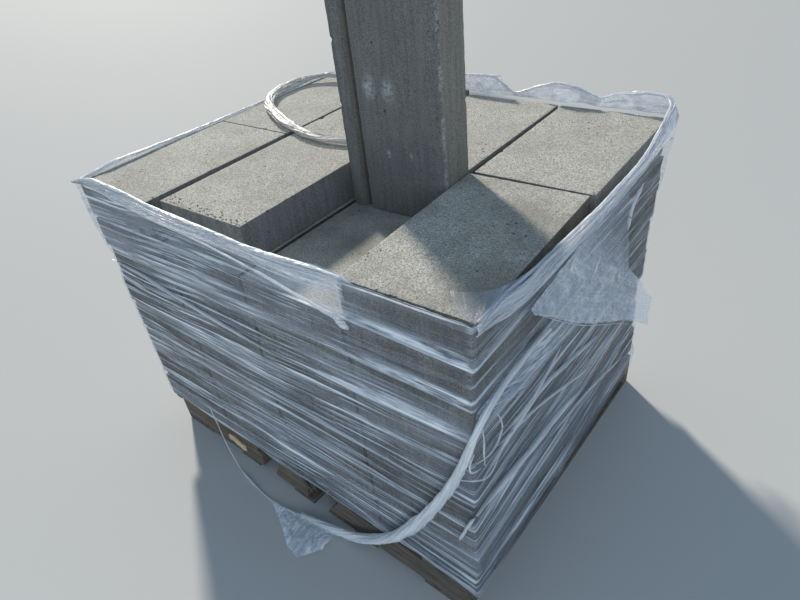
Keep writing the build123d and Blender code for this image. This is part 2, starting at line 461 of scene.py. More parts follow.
@dataclass(frozen=True)
class TimberFinish:
    """Weathered, rough-sawn softwood.

    Attributes:
        name: The material's name.
        grain: The way that its grain runs.
        pale: The wood between its rings.
        dark: Its rings.
        grey: The wood where it has weathered.
    """

    name: str
    grain: Grain
    pale: Colour = (0.24, 0.195, 0.145, 1.0)
    dark: Colour = (0.07, 0.052, 0.038, 1.0)
    grey: Colour = (0.165, 0.152, 0.135, 1.0)

    def material(self) -> bpy.types.Material:
        """Makes the material.

        Returns:
            The material, its grain along the piece.
        """
        graph = Graph(self.name)
        place = graph.place()
        rings = graph.noise(graph.stretch(place, self.grain.value), 3.2, 5.0, 0.62, 0.6)
        finer = tuple(5.0 * scale for scale in self.grain.value)
        fibre = graph.noise(graph.stretch(place, finer), 5.0, 3.0, 0.7)
        lines = graph.ramp(graph.blend(rings, 0.6, fibre, 0.4), 0.36, 0.62)
        weather = graph.ramp(graph.noise(place, 4.5, 3.0, 0.6), 0.40, 0.62, 0.15, 0.75)
        wood = graph.mix(lines, self.dark, self.pale)
        graph.set(
            Base_Color=graph.mix(weather, wood, graph.mix(lines, self.dark, self.grey)),
            Roughness=0.86,
            Normal=graph.bump(fibre, 0.0014, 0.8),
            Specular_IOR_Level=0.25,
        )
        return graph.material


@dataclass(frozen=True)
class FreshWoodFinish:
    """The pale inside of wood that split lately.

    Attributes:
        name: The material's name.
        light: Its pale fibres.
        shade: Its darker fibres.
    """

    name: str = "fresh_split_wood"
    light: Colour = (0.80, 0.66, 0.42, 1.0)
    shade: Colour = (0.58, 0.43, 0.24, 1.0)

    def material(self) -> bpy.types.Material:
        """Makes the material.

        Returns:
            The material, its fibres along X.
        """
        graph = Graph(self.name)
        fibre = graph.noise(graph.stretch(graph.place(), (20.0, 300.0, 300.0)), 1.0, 4.0, 0.7)
        graph.set(
            Base_Color=graph.mix(graph.ramp(fibre, 0.35, 0.65), self.shade, self.light),
            Roughness=0.8,
            Normal=graph.bump(fibre, 0.0012),
        )
        return graph.material


@dataclass(frozen=True)
class Ledges:
    """Where the film bridges from each course to the next one down.

    Attributes:
        start: Height of the lowest bed joint.
        pitch: Height from one joint to the next.
        corner: Place of the front right corner, where the bridges are widest.
        reach: How far from that corner they are plain.
        courses: How many courses there are, with the broken top one.
    """

    start: float
    pitch: float
    corner: Place
    reach: float = 0.42
    courses: int = 8


@dataclass(frozen=True)
class FilmFinish:
    """Stretch film: clear where it is tight, milky where it is drawn into folds, its white streaks partly
    painted highlight.

    Attributes:
        name: The material's name.
        thin: Opacity where it is clear.
        thick: Opacity where it is milky.
        low: Share of the pattern under which it is clear.
        high: Share of the pattern over which it is milky.
        slope: Angle in degrees at which its streaks cross.
        crumple: Share of a crumpled pattern in its streaks.
        fade: Metres from its lower edge over which it turns clearer, if any.
        glow: Share of the light that is scattered inside its folds.
        ledges: Where it bridges the courses, if it does.
        shine: Its least and greatest roughness.
        tint: Its colour where it is clear.
        white: Its colour where it is milky, partly its own milkiness and partly painted highlight.
    """

    name: str
    thin: float
    thick: float
    low: float = 0.42
    high: float = 0.66
    slope: float = 4.0
    crumple: float = 0.0
    fade: float = 0.0
    glow: float = 0.0
    ledges: Ledges | None = None
    shine: tuple[float, float] = (0.14, 0.40)
    tint: Colour = (0.60, 0.71, 0.88, 1.0)
    white: Colour = (0.92, 0.97, 1.0, 1.0)

    # Each width of streak: scale, share of the slope, shift, detail and roughness.
    STREAKS = (
        ((0.9, 8.0, 1.0), 1.0, (0.0, 0.0, 0.0), 4.0, 0.62),
        ((1.5, 34.0, 1.0), -0.5, (3.0, 7.0, 0.0), 4.0, 0.62),
        ((2.2, 75.0, 1.0), 1.6, (1.0, 4.0, 0.0), 3.0, 0.6),
        ((3.0, 150.0, 1.0), 0.2, (9.0, 1.0, 0.0), 3.0, 0.7),
    )
    # Each set of creases: scale and shift.
    CRINKLES = ((14.0, 0.0), (31.0, 5.0))

    def material(self) -> bpy.types.Material:
        """Makes the material.

        Returns:
            The material, its streaks along the web's length.
        """
        graph = Graph(self.name)
        web = graph.cloth()
        milk, height, fine = self.streaks(graph, web)
        if self.crumple:
            milk, height = self.crumpled(graph, web, milk, height)
        if self.ledges:
            milk = self.bridged(graph, milk)
        kept = None
        if self.fade:
            kept = graph.ramp(graph.axis(web, "Y"), 0.75 * self.fade, 1.3 * self.fade, 1.0, 0.25)
            milk = graph.times(milk, kept)
        opaque = graph.ramp(milk, 0.0, 1.0, self.thin, self.thick)
        if kept is not None:
            opaque = graph.times(opaque, graph.ramp(kept, 0.25, 1.0, 0.50, 1.0))
        # The milky white is partly the film's own milkiness and partly painted highlight.
        graph.set(
            Base_Color=graph.mix(milk, self.tint, self.white),
            Alpha=opaque,
            Roughness=graph.ramp(fine, 0.3, 0.7, *self.shine),
            Normal=graph.bump(height, 0.004 if self.glow else 0.006, 0.8),
            IOR=1.5,
        )
        if self.glow:
            graph.set(Subsurface_Weight=self.glow, Subsurface_Radius=(1.0, 1.0, 1.0), Subsurface_Scale=0.02)
        return graph.material

    def streaks(self, graph: Graph, web: Socket) -> tuple[Socket, Socket, Socket]:
        """Lays streaks of four widths along the web, as stretched film has them.

        Args:
            graph: The material's nodes.
            web: The piece's UV map.

        Returns:
            How milky the film is, the height of its bumps, and its finest streaks.
        """
        sway = graph.noise(graph.stretch(web, (0.9, 2.2, 1.0)), 1.0, 2.0)
        bent = graph.add("ShaderNodeCombineXYZ")
        graph.put(bent.inputs["X"], graph.axis(web, "X"))
        graph.put(bent.inputs["Y"], graph.plus(graph.axis(web, "Y"), graph.times(sway, 0.10)))
        wide, mid, cross, fine = (
            graph.noise(graph.stretch(bent.outputs[0], scale, turn * self.slope, move), 1.0, detail, rough)
            for scale, turn, move, detail, rough in self.STREAKS
        )
        haze = graph.times(graph.ramp(wide, self.low, self.high), 0.34)
        folds = graph.ramp(mid, self.low + 0.06, self.high)
        folds = graph.times(folds, graph.ramp(wide, 0.30, 0.60, 0.35, 0.90))
        hairs = graph.times(graph.ramp(cross, 0.54, 0.63), graph.ramp(mid, 0.36, 0.58, 0.35, 1.0))
        threads = graph.times(graph.ramp(fine, 0.55, 0.66), graph.ramp(wide, 0.36, 0.56, 0.35, 0.80))
        milk = graph.most(graph.most(folds, hairs), graph.most(threads, haze))
        return milk, graph.blend(mid, 0.6, cross, 0.4), fine

    def crumpled(self, graph: Graph, web: Socket, milk: Socket, height: Socket) -> tuple[Socket, Socket]:
        """Mixes a crumpled pattern into the streaks.

        Args:
            graph: The material's nodes.
            web: The piece's UV map.
            milk: How milky the film is.
            height: The height of its bumps.

        Returns:
            Both, with the crumpled pattern's share in them.
        """
        wad = graph.noise(graph.stretch(web, (1.0, 1.5, 1.0)), 13.0, 5.0, 0.66, 0.5)
        soft = graph.ramp(wad, 0.30, 0.66, 0.0, 0.8)
        soft = graph.plus(soft, graph.times(self.crinkles(graph, web), 0.45))
        milk = graph.times(milk, 1.0 - self.crumple)
        milk = graph.plus(milk, graph.times(soft, self.crumple), clamp=True)
        return milk, graph.plus(height, graph.times(wad, 1.5))

    def crinkles(self, graph: Graph, place: Socket) -> Socket:
        """Draws thin creases that cross in all directions.

        Args:
            graph: The material's nodes.
            place: The coordinates that they follow.

        Returns:
            1 on a crease and 0 beside it.
        """
        lines = []
        for scale, seed in self.CRINKLES:
            moved = graph.stretch(place, (1.0, 1.0, 1.0), 0.0, (seed, seed, seed))
            middle = graph.minus(graph.noise(moved, scale, 3.0, 0.6, 1.4), 0.5)
            lines.append(graph.ramp(graph.maths("ABSOLUTE", middle), 0.030, 0.004))
        return graph.most(*lines)

    def bridged(self, graph: Graph, milk: Socket) -> Socket:
        """Whitens the film over the ledges and clears it between, near the front corner.

        Args:
            graph: The material's nodes.
            milk: How milky the film is.

        Returns:
            The same, as the load under it changes it.
        """
        place = graph.place()
        height = graph.axis(place, "Z")
        start, pitch, edge = self.ledges.start, self.ledges.pitch, self.ledges.corner[0]
        level = graph.maths("FRACT", graph.maths("DIVIDE", graph.minus(height, start), pitch))
        band = graph.times(graph.ramp(level, 0.0, 0.05), graph.ramp(level, 0.36, 0.20))
        flank = graph.ramp(graph.axis(place, "X"), edge - 0.015, edge - 0.003)
        away = graph.away(place, (*self.ledges.corner, 0.0))
        near = graph.ramp(away, self.ledges.reach, 0.45 * self.ledges.reach)
        near = graph.times(near, graph.ramp(height, 0.55, 0.78, 0.15, 1.0))
        near = graph.times(near, graph.ramp(flank, 0.0, 1.0, 1.0, 0.40))
        torn = graph.ramp(graph.noise(graph.stretch(place, (9.0, 9.0, 55.0)), 1.0, 3.0, 0.7), 0.34, 0.56)
        clear = graph.times(graph.times(graph.ramp(level, 0.30, 0.44), near), 0.85)
        milk = graph.times(milk, graph.minus(1.0, clear))
        milk = graph.plus(milk, graph.times(graph.times(band, torn), 0.16))
        bright = graph.times(graph.times(graph.times(band, near), torn), 0.62)
        milk = graph.plus(milk, bright, clamp=True)
        top = start + self.ledges.courses * pitch
        loose = graph.times(graph.ramp(height, top - 0.002, top + 0.012), 0.5)
        wad = graph.times(graph.ramp(graph.noise(place, 26.0, 5.0, 0.7, 1.2), 0.36, 0.56), 0.72)
        wad = graph.times(graph.most(wad, self.crinkles(graph, place)), loose)
        milk = graph.times(graph.most(milk, wad), graph.ramp(flank, 0.0, 1.0, 1.0, 0.74))
        return graph.times(milk, graph.ramp(height, 0.085, 0.135, 0.40, 1.0))


@dataclass(frozen=True)
class PlainFinish:
    """One even finish for the studio."""

    name: str
    colour: Colour
    roughness: float = 0.9

    def material(self) -> bpy.types.Material:
        """Makes the material."""
        graph = Graph(self.name)
        graph.set(Base_Color=self.colour, Roughness=self.roughness)
        return graph.material


def add_piece(
    name: str,
    mesh: bmesh.types.BMesh,
    material: bpy.types.Material,
    replaces: Sequence[str] = (),
    smooth: bool = False,
) -> bpy.types.Object:
    """Turns a bmesh into a piece that rides on the pallet's body.

    Args:
        name: The piece's name.
        mesh: The finished shape, in place. It is freed.
        material: The piece's finish.
        replaces: The CAD nodes that the piece stands for.
        smooth: Whether its faces are shaded smooth.

    Returns:
        The new object.
    """
    data = bpy.data.meshes.new(name)
    for face in mesh.faces:
        face.smooth = smooth
    mesh.to_mesh(data)
    mesh.free()
    data.materials.append(material)
    piece = bpy.data.objects.new(name, data)
    bpy.context.scene.collection.objects.link(piece)
    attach(piece, BODY)
    if replaces:
        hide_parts(*replaces)
    log.info("%s: %d faces", name, len(data.polygons))
    return piece


def solid_of(node: str) -> bmesh.types.BMesh:
    """Copies a CAD node's shape, its triangles merged into its flat faces.

    Args:
        node: The node's name.

    Returns:
        The shape.
    """
    mesh = bmesh.new()
    mesh.from_mesh(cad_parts[node].data)
    bmesh.ops.remove_doubles(mesh, verts=mesh.verts, dist=1e-5)
    bmesh.ops.dissolve_limit(
        mesh, angle_limit=math.radians(0.5), verts=mesh.verts, edges=mesh.edges
    )
    mesh.faces.index_update()
    return mesh


def islands(mesh: bmesh.types.BMesh) -> list[bmesh.types.BMesh]:
    """Splits a shape into its separate solids.

    Args:
        mesh: The shape, which is left as it is.

    Returns:
        A shape for each solid.
    """
    mesh.faces.ensure_lookup_table()
    found = []
    left = set(range(len(mesh.faces)))
    while left:
        edge = [min(left)]
        group = set(edge)
        while edge:
            near = {f.index for i in edge for e in mesh.faces[i].edges for f in e.link_faces} - group
            group |= near
            edge = list(near)
        left -= group
        alone = mesh.copy()
        others = [face for face in alone.faces if face.index not in group]
        bmesh.ops.delete(alone, geom=others, context="FACES")
        found.append(alone)
    return found


def joined(parts: Sequence[bmesh.types.BMesh]) -> bmesh.types.BMesh:
    """Puts several shapes into one.

    Args:
        parts: The shapes. They are freed.

    Returns:
        The whole.
    """
    whole = bmesh.new()
    for part in parts:
        data = bpy.data.meshes.new("part")
        part.to_mesh(data)
        part.free()
        whole.from_mesh(data)
        bpy.data.meshes.remove(data)
    return whole


def heading(mesh: bmesh.types.BMesh) -> float:
    """Finds how far a nearly square-set solid is turned about Z.

    Args:
        mesh: The solid.

    Returns:
        The turn, in radians.
    """
    flat = [e for e in mesh.edges if abs(e.verts[0].co.z - e.verts[1].co.z) < 1e-4]
    longest = max(flat, key=lambda e: e.calc_length())
    run = longest.verts[1].co - longest.verts[0].co
    angle = math.atan2(run.y, run.x)
    return angle - round(angle / (math.pi / 2)) * (math.pi / 2)


def wave(x: float, y: float, z: float) -> float:
    """Smooth noise at a point, from -1 to 1."""
    return noise.noise(Vector((x, y, z)))


@dataclass(frozen=True)
class Wear:
    """How a solid's edges are worn.

    Attributes:
        step: Spacing of the cuts that carry the wear.
        rim: Distance of the first cuts from each edge.
        round: Depth by which every edge is rounded.
        chip: Depth of the deepest chips.
        reach: How far a chip reaches in from its edge.
        often: From 0 to 1, how much of an edge is chipped.
        uneven: Depth of the unevenness of the faces.
        sharp: Angle in degrees over which an edge wears.
        spacing: Spacing of the points that mark the sharp edges.
    """

    step: float
    rim: float
    round: float
    chip: float
    reach: float
    often: float
    uneven: float = 0.0
    sharp: float = 30.0
    spacing: float = 0.003

    def cuts(self, low: float, high: float) -> list[float]:
        """Places the cuts across one direction.

        Args:
            low: Where the solid starts.
            high: Where it ends.

        Returns:
            Their places.
        """
        count = max(1, round((high - low) / self.step))
        even = [low + (high - low) * i / count for i in range(1, count)]
        return [low + self.rim, high - self.rim] + even

    def sharp_edges(self, mesh: bmesh.types.BMesh) -> kdtree.KDTree:
        """Marks the solid's sharp edges with points.

        Args:
            mesh: The solid.

        Returns:
            The points, ready to be asked for the nearest.
        """
        points = []
        for edge in mesh.edges:
            if len(edge.link_faces) == 2 and edge.calc_face_angle(0.0) > math.radians(self.sharp):
                start, end = edge.verts[0].co, edge.verts[1].co
                pieces = max(1, int((end - start).length / self.spacing))
                points += [start.lerp(end, i / pieces) for i in range(pieces + 1)]
        tree = kdtree.KDTree(len(points))
        for number, point in enumerate(points):
            tree.insert(point, number)
        tree.balance()
        return tree

    def depth(self, where: Vector, gap: float) -> float:
        """Works out how much has worn off at a point.

        Args:
            where: The point, moved by the solid's own seed.
            gap: Its distance from the nearest sharp edge.

        Returns:
            The depth.
        """
        worn = max(0.0, 1.0 - gap / (1.4 * self.rim)) * self.round
        worn *= 0.75 + 0.5 * noise.noise(where * 60.0)
        if gap < self.reach:
            wild = 0.6 * noise.noise(where * 21.0) + 0.4 * noise.noise(where * 75.0)
            bite = max(0.0, wild - 0.55 * (1.0 - self.often))
            worn += (1.0 - gap / self.reach) ** 1.5 * min(1.0, 4.0 * bite) * self.chip
        if self.uneven:
            worn += self.uneven * (0.5 + noise.noise(where * 14.0))
        return worn

    def apply(self, mesh: bmesh.types.BMesh, seed: float) -> None:
        """Cuts one solid into small faces and wears its edges.

        Args:
            mesh: The solid.
            seed: Which wear it gets.
        """
        turn = Matrix.Rotation(-heading(mesh), 3, "Z")
        bmesh.ops.rotate(mesh, verts=mesh.verts, cent=(0, 0, 0), matrix=turn)
        mesh.normal_update()
        sharp = self.sharp_edges(mesh)
        for axis in range(3):
            values = [v.co[axis] for v in mesh.verts]
            normal = Vector([1.0 if i == axis else 0.0 for i in range(3)])
            for place in self.cuts(min(values), max(values)):
                geom = mesh.verts[:] + mesh.edges[:] + mesh.faces[:]
                bmesh.ops.bisect_plane(mesh, geom=geom, dist=1e-6, plane_co=normal * place, plane_no=normal)
        mesh.normal_update()
        offset = Vector((seed * 3.1, seed * 1.7, seed * 2.3))
        moves = []
        for vert in mesh.verts:
            worn = self.depth(vert.co + offset, sharp.find(vert.co)[2])
            moves.append((vert, vert.normal * worn))
        for vert, move in moves:
            vert.co -= move
        bmesh.ops.rotate(mesh, verts=mesh.verts, cent=(0, 0, 0), matrix=turn.transposed())


@dataclass
class BlockStack:
    """The concrete blocks: seven full courses, a broken top one and one block on its end.

    Attributes:
        hidden: Wear of the courses under the film.
        shown: Wear of the top blocks.
        standing: Wear of the standing block.
        finish: The standing block's finish, before its marks.
        plain: Finish of the open top blocks, their sides painted darker than their beds as shade.
        wrapped: Finish of the blocks behind the film, their sides painted darker still as shade.
        crumb: Finish of the crumbs.
    """

    hidden: Wear = Wear(0.030, 0.004, 0.0016, 0.010, 0.026, 0.30)
    shown: Wear = Wear(0.0085, 0.0028, 0.0012, 0.009, 0.014, 0.36)
    standing: Wear = Wear(0.0085, 0.0028, 0.0016, 0.011, 0.018, 0.42)
    finish: ConcreteFinish = ConcreteFinish()
    # Painted shade: both finishes give the sides far darker colours than the beds, the wrapped one darker
    # still.
    plain: ConcreteFinish = ConcreteFinish(
        "open_concrete", side=(0.325, 0.325, 0.31, 1.0), side_dark=(0.14, 0.14, 0.135, 1.0)
    )
    wrapped: ConcreteFinish = ConcreteFinish(
        "wrapped_concrete", side=(0.25, 0.235, 0.20, 1.0), side_dark=(0.055, 0.05, 0.04, 1.0), stain=0.7
    )
    crumb: ConcreteFinish = ConcreteFinish(
        "crumbs", bed=(0.30, 0.27, 0.22, 1.0), bed_dark=(0.10, 0.08, 0.06, 1.0)
    )

    # Each scuff: its place right of the block's left edge and down from its top, and its radius.
    SCUFFS = ((0.110, 0.188, 0.023), (0.164, 0.190, 0.024), (0.147, 0.345, 0.009), (0.214, 0.340, 0.009))
    # The groove painted in shade, right of the block's left edge and back from its face.
    GROOVE = (0.0595, 0.0165)
    # Each block with crumbs: how many, their span along it and their band back from its front edge.
    CRUMBS = (
        ("top_block_front_left", 26, (0.20, 1.0), (0.000, 0.030)),
        ("top_block_front_second", 90, (0.00, 1.0), (0.000, 0.030)),
        ("top_block_front_right", 7, (0.02, 0.30), (0.02, 0.12)),
    )

    def build(self) -> None:
        """Builds and dresses every block, each node as one piece."""
        plain, wrapped, marked = self.plain.material(), self.wrapped.material(), self.marked()
        names = sorted(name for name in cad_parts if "block" in name)
        for number, name in enumerate(names):
            wear, material = self.shown, plain
            if "course" in name:
                wear, material = self.hidden, wrapped
            elif name == "top_block_front_right":
                material = wrapped
            elif name == "standing_block":
                wear, material = self.standing, marked
            parts = islands(solid_of(name))
            for index, part in enumerate(parts):
                wear.apply(part, number + index / 8)
            add_piece(f"concrete_{name}", joined(parts), material, [name])
        self.crumbs()

    def marked(self) -> bpy.types.Material:
        """Puts the standing block's scuffs, crumbled edge and painted shade in its groove on its finish.

        Returns:
            The material.
        """
        low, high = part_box("standing_block")
        scuffs = [((low.x + right, low.y, high.z - down), radius) for right, down, radius in self.SCUFFS]
        corner = max((v.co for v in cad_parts["standing_block"].data.vertices), key=lambda p: p.x)
        groove = (low.x + self.GROOVE[0], low.y + self.GROOVE[1])
        return self.finish.material(scuffs, (corner.x, corner.y), groove)

    def crumbs(self) -> None:
        """Scatters the crumbs that lie along the top blocks' edges."""
        rng = random.Random(12)
        crumbs = []
        for node, count, span, band in self.CRUMBS:
            low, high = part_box(node)
            for _ in range(count):
                crumb = bmesh.new()
                size = rng.uniform(0.0008, 0.0030)
                bmesh.ops.create_icosphere(crumb, subdivisions=1, radius=size)
                for vert in crumb.verts:
                    vert.co *= rng.uniform(0.6, 1.25)
                x = low.x + (high.x - low.x) * rng.uniform(*span)
                y = low.y + 0.008 + band[0] + (band[1] - band[0]) * rng.random() ** 2
                place = Matrix.Translation((x, y, high.z + 0.2 * size))
                place = place @ Matrix.Rotation(rng.uniform(0, 3), 4, "Z")
                crumb.transform(place @ Matrix.Diagonal((1.0, rng.uniform(0.3, 0.9), 0.5, 1.0)))
                crumbs.append(crumb)
        add_piece("concrete_crumbs", joined(crumbs), self.crumb.material())


@dataclass
class Pallet:
    """The wooden pallet, its near stringer split in two places.

    Attributes:
        wear: Wear of its boards and stringers.
        skew: Turn of the near stringer about Z, in degrees.
        splinter_x: Middle of the pale torn patch.
        splinter_length: Its length.
        splinter_height: Its height.
        breaks: The parts that end in a break, and how far their fibres lean.
        fibres: How many fibres hang in each break.
    """

    wear: Wear = Wear(0.028, 0.0025, 0.0012, 0.006, 0.016, 0.22, 0.0006)
    skew: float = -1.8
    splinter_x: float = -0.315
    splinter_length: float = 0.075
    splinter_height: float = 0.030
    breaks: tuple[tuple[str, float], ...] = (("stringer_front_left", 0.30), ("stringer_front_middle", 0.42))
    fibres: int = 7

    def build(self) -> None:
        """Builds and dresses every board and stringer, and the splinters."""
        across = TimberFinish("weathered_board", Grain.ALONG_Y).material()
        along = TimberFinish("weathered_stringer", Grain.ALONG_X).material()
        names = sorted(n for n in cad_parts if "board" in n or "stringer" in n)
        for number, name in enumerate(names):
            part = solid_of(name)
            self.wear.apply(part, 40.0 + number)
            material = across if "board" in name else along
            add_piece(f"timber_{name}", part, material, [name])
        rng = random.Random(5)
        self.torn_patch(rng, FreshWoodFinish().material())
        self.torn_fibres(rng, along)

    def torn_patch(self, rng: random.Random, fresh: bpy.types.Material) -> None:
        """Adds the pale patch where a splinter came off the near stringer.

        Args:
            rng: Where its ragged edge comes from.
            fresh: The finish of new-split wood.
        """
        patch = bmesh.new()
        bmesh.ops.create_cube(patch, size=1.0)
        bmesh.ops.scale(patch, verts=patch.verts, vec=(self.splinter_length, 0.003, self.splinter_height))
        bmesh.ops.subdivide_edges(patch, edges=patch.edges[:], cuts=6, use_grid_fill=True)
        for vert in patch.verts:
            vert.co.z += 0.008 * wave(vert.co.x * 90.0, 0.0, 2.0)
            if vert.co.x > 0.3 * self.splinter_length:
                vert.co.x += 0.014 * rng.random()
            vert.co.y -= 0.002 * rng.random()
        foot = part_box("stringer_front_left")[0].z
        middle = (self.splinter_x, self.near_face(self.splinter_x) - 0.0005, foot + 0.042)
        place = Matrix.Translation(middle) @ Matrix.Rotation(math.radians(self.skew), 4, "Z")
        patch.transform(place @ Matrix.Rotation(math.radians(9), 4, "Y"))
        add_piece("fresh_splinter", patch, fresh)

    def torn_fibres(self, rng: random.Random, old: bpy.types.Material) -> None:
        """Adds the fibres that hang in the near stringer's breaks.

        Args:
            rng: Where their sizes and places come from.
            old: The finish of weathered wood.
        """
        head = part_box("stringer_front_left")[1].z
        fibres = []
        for node, lean in self.breaks:
            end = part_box(node)[1].x
            for _ in range(self.fibres):
                fibre = bmesh.new()
                bmesh.ops.create_cone(
                    fibre, cap_ends=True, segments=5, radius1=0.003, radius2=0.0007, depth=0.060
                )
                bmesh.ops.scale(fibre, verts=fibre.verts, vec=(1.0, 0.5, 0.7 + 0.5 * rng.random()))
                tilt = Matrix.Rotation(math.pi - lean - 0.35 * rng.random(), 4, "Y")
                x = end - 0.004 + 0.010 * rng.random()
                y = self.near_face(x) + 0.004 + 0.030 * rng.random()
                fibre.transform(Matrix.Translation((x, y, head - 0.035)) @ tilt)
                fibres.append(fibre)
        add_piece("torn_fibres", joined(fibres), old)

    def near_face(self, x: float) -> float:
        """Y of the near stringer's outer face at an X."""
        low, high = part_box("stringer_front_right")
        return low.y - (high.x - x) * math.tan(math.radians(self.skew))


def smooth_line(points: Sequence[Point], fineness: int = 10) -> list[Vector]:
    """Points along the NURBS curve whose control points are a route's.

    Args:
        points: The route's points.
        fineness: How many points there are to each span.

    Returns:
        The curve's own points, in order.
    """
    data = bpy.data.curves.new("route", "CURVE")
    data.dimensions = "3D"
    spline = data.splines.new("NURBS")
    spline.points.add(len(points) - 1)
    for point, place in zip(spline.points, points):
        point.co = (*place, 1.0)
    spline.order_u = 3
    spline.use_endpoint_u = True
    spline.resolution_u = fineness
    holder = bpy.data.objects.new("route", data)
    bpy.context.scene.collection.objects.link(holder)
    mesh = bpy.data.meshes.new_from_object(holder.evaluated_get(bpy.context.evaluated_depsgraph_get()))
    line = [v.co.copy() for v in mesh.vertices]
    bpy.data.objects.remove(holder)
    bpy.data.curves.remove(data)
    bpy.data.meshes.remove(mesh)
    return line


def between(value: float, places: Sequence[Place]) -> float:
    """Reads a height between the points of a list, with an eased step from each to the next.

    Args:
        value: The place to read at.
        places: (place, height) pairs, the places rising.

    Returns:
        The height, which stays the same beyond both ends.
    """
    if value <= places[0][0]:
        return places[0][1]
    for (start, first), (end, second) in zip(places, places[1:]):
        if value <= end:
            share = (value - start) / (end - start)
            share = share * share * (3.0 - 2.0 * share)
            return first + (second - first) * share
    return places[-1][1]


def web_grid(
    columns: int, rows: int, place: Callable[[float, float], tuple[Vector, Place]]
) -> bmesh.types.BMesh:
    """A grid whose every point is put where a function of its two shares says.

    Args:
        columns: Spans along the web.
        rows: Spans across it.
        place: Gives a point, and its UV in metres, for shares from 0 to 1.

    Returns:
        The bmesh, with a UV map.
    """
    mesh = bmesh.new()
    uv = mesh.loops.layers.uv.new("web")
    bmesh.ops.create_grid(mesh, x_segments=columns, y_segments=rows, size=0.5)
    where = {}
    for vert in mesh.verts:
        u, v = vert.co.x + 0.5, vert.co.y + 0.5
        point, flat = place(min(1.0, max(0.0, u)), min(1.0, max(0.0, v)))
        where[vert] = flat
        vert.co = point
    for face in mesh.faces:
        for loop in face.loops:
            loop[uv].uv = where[loop.vert]
    return mesh


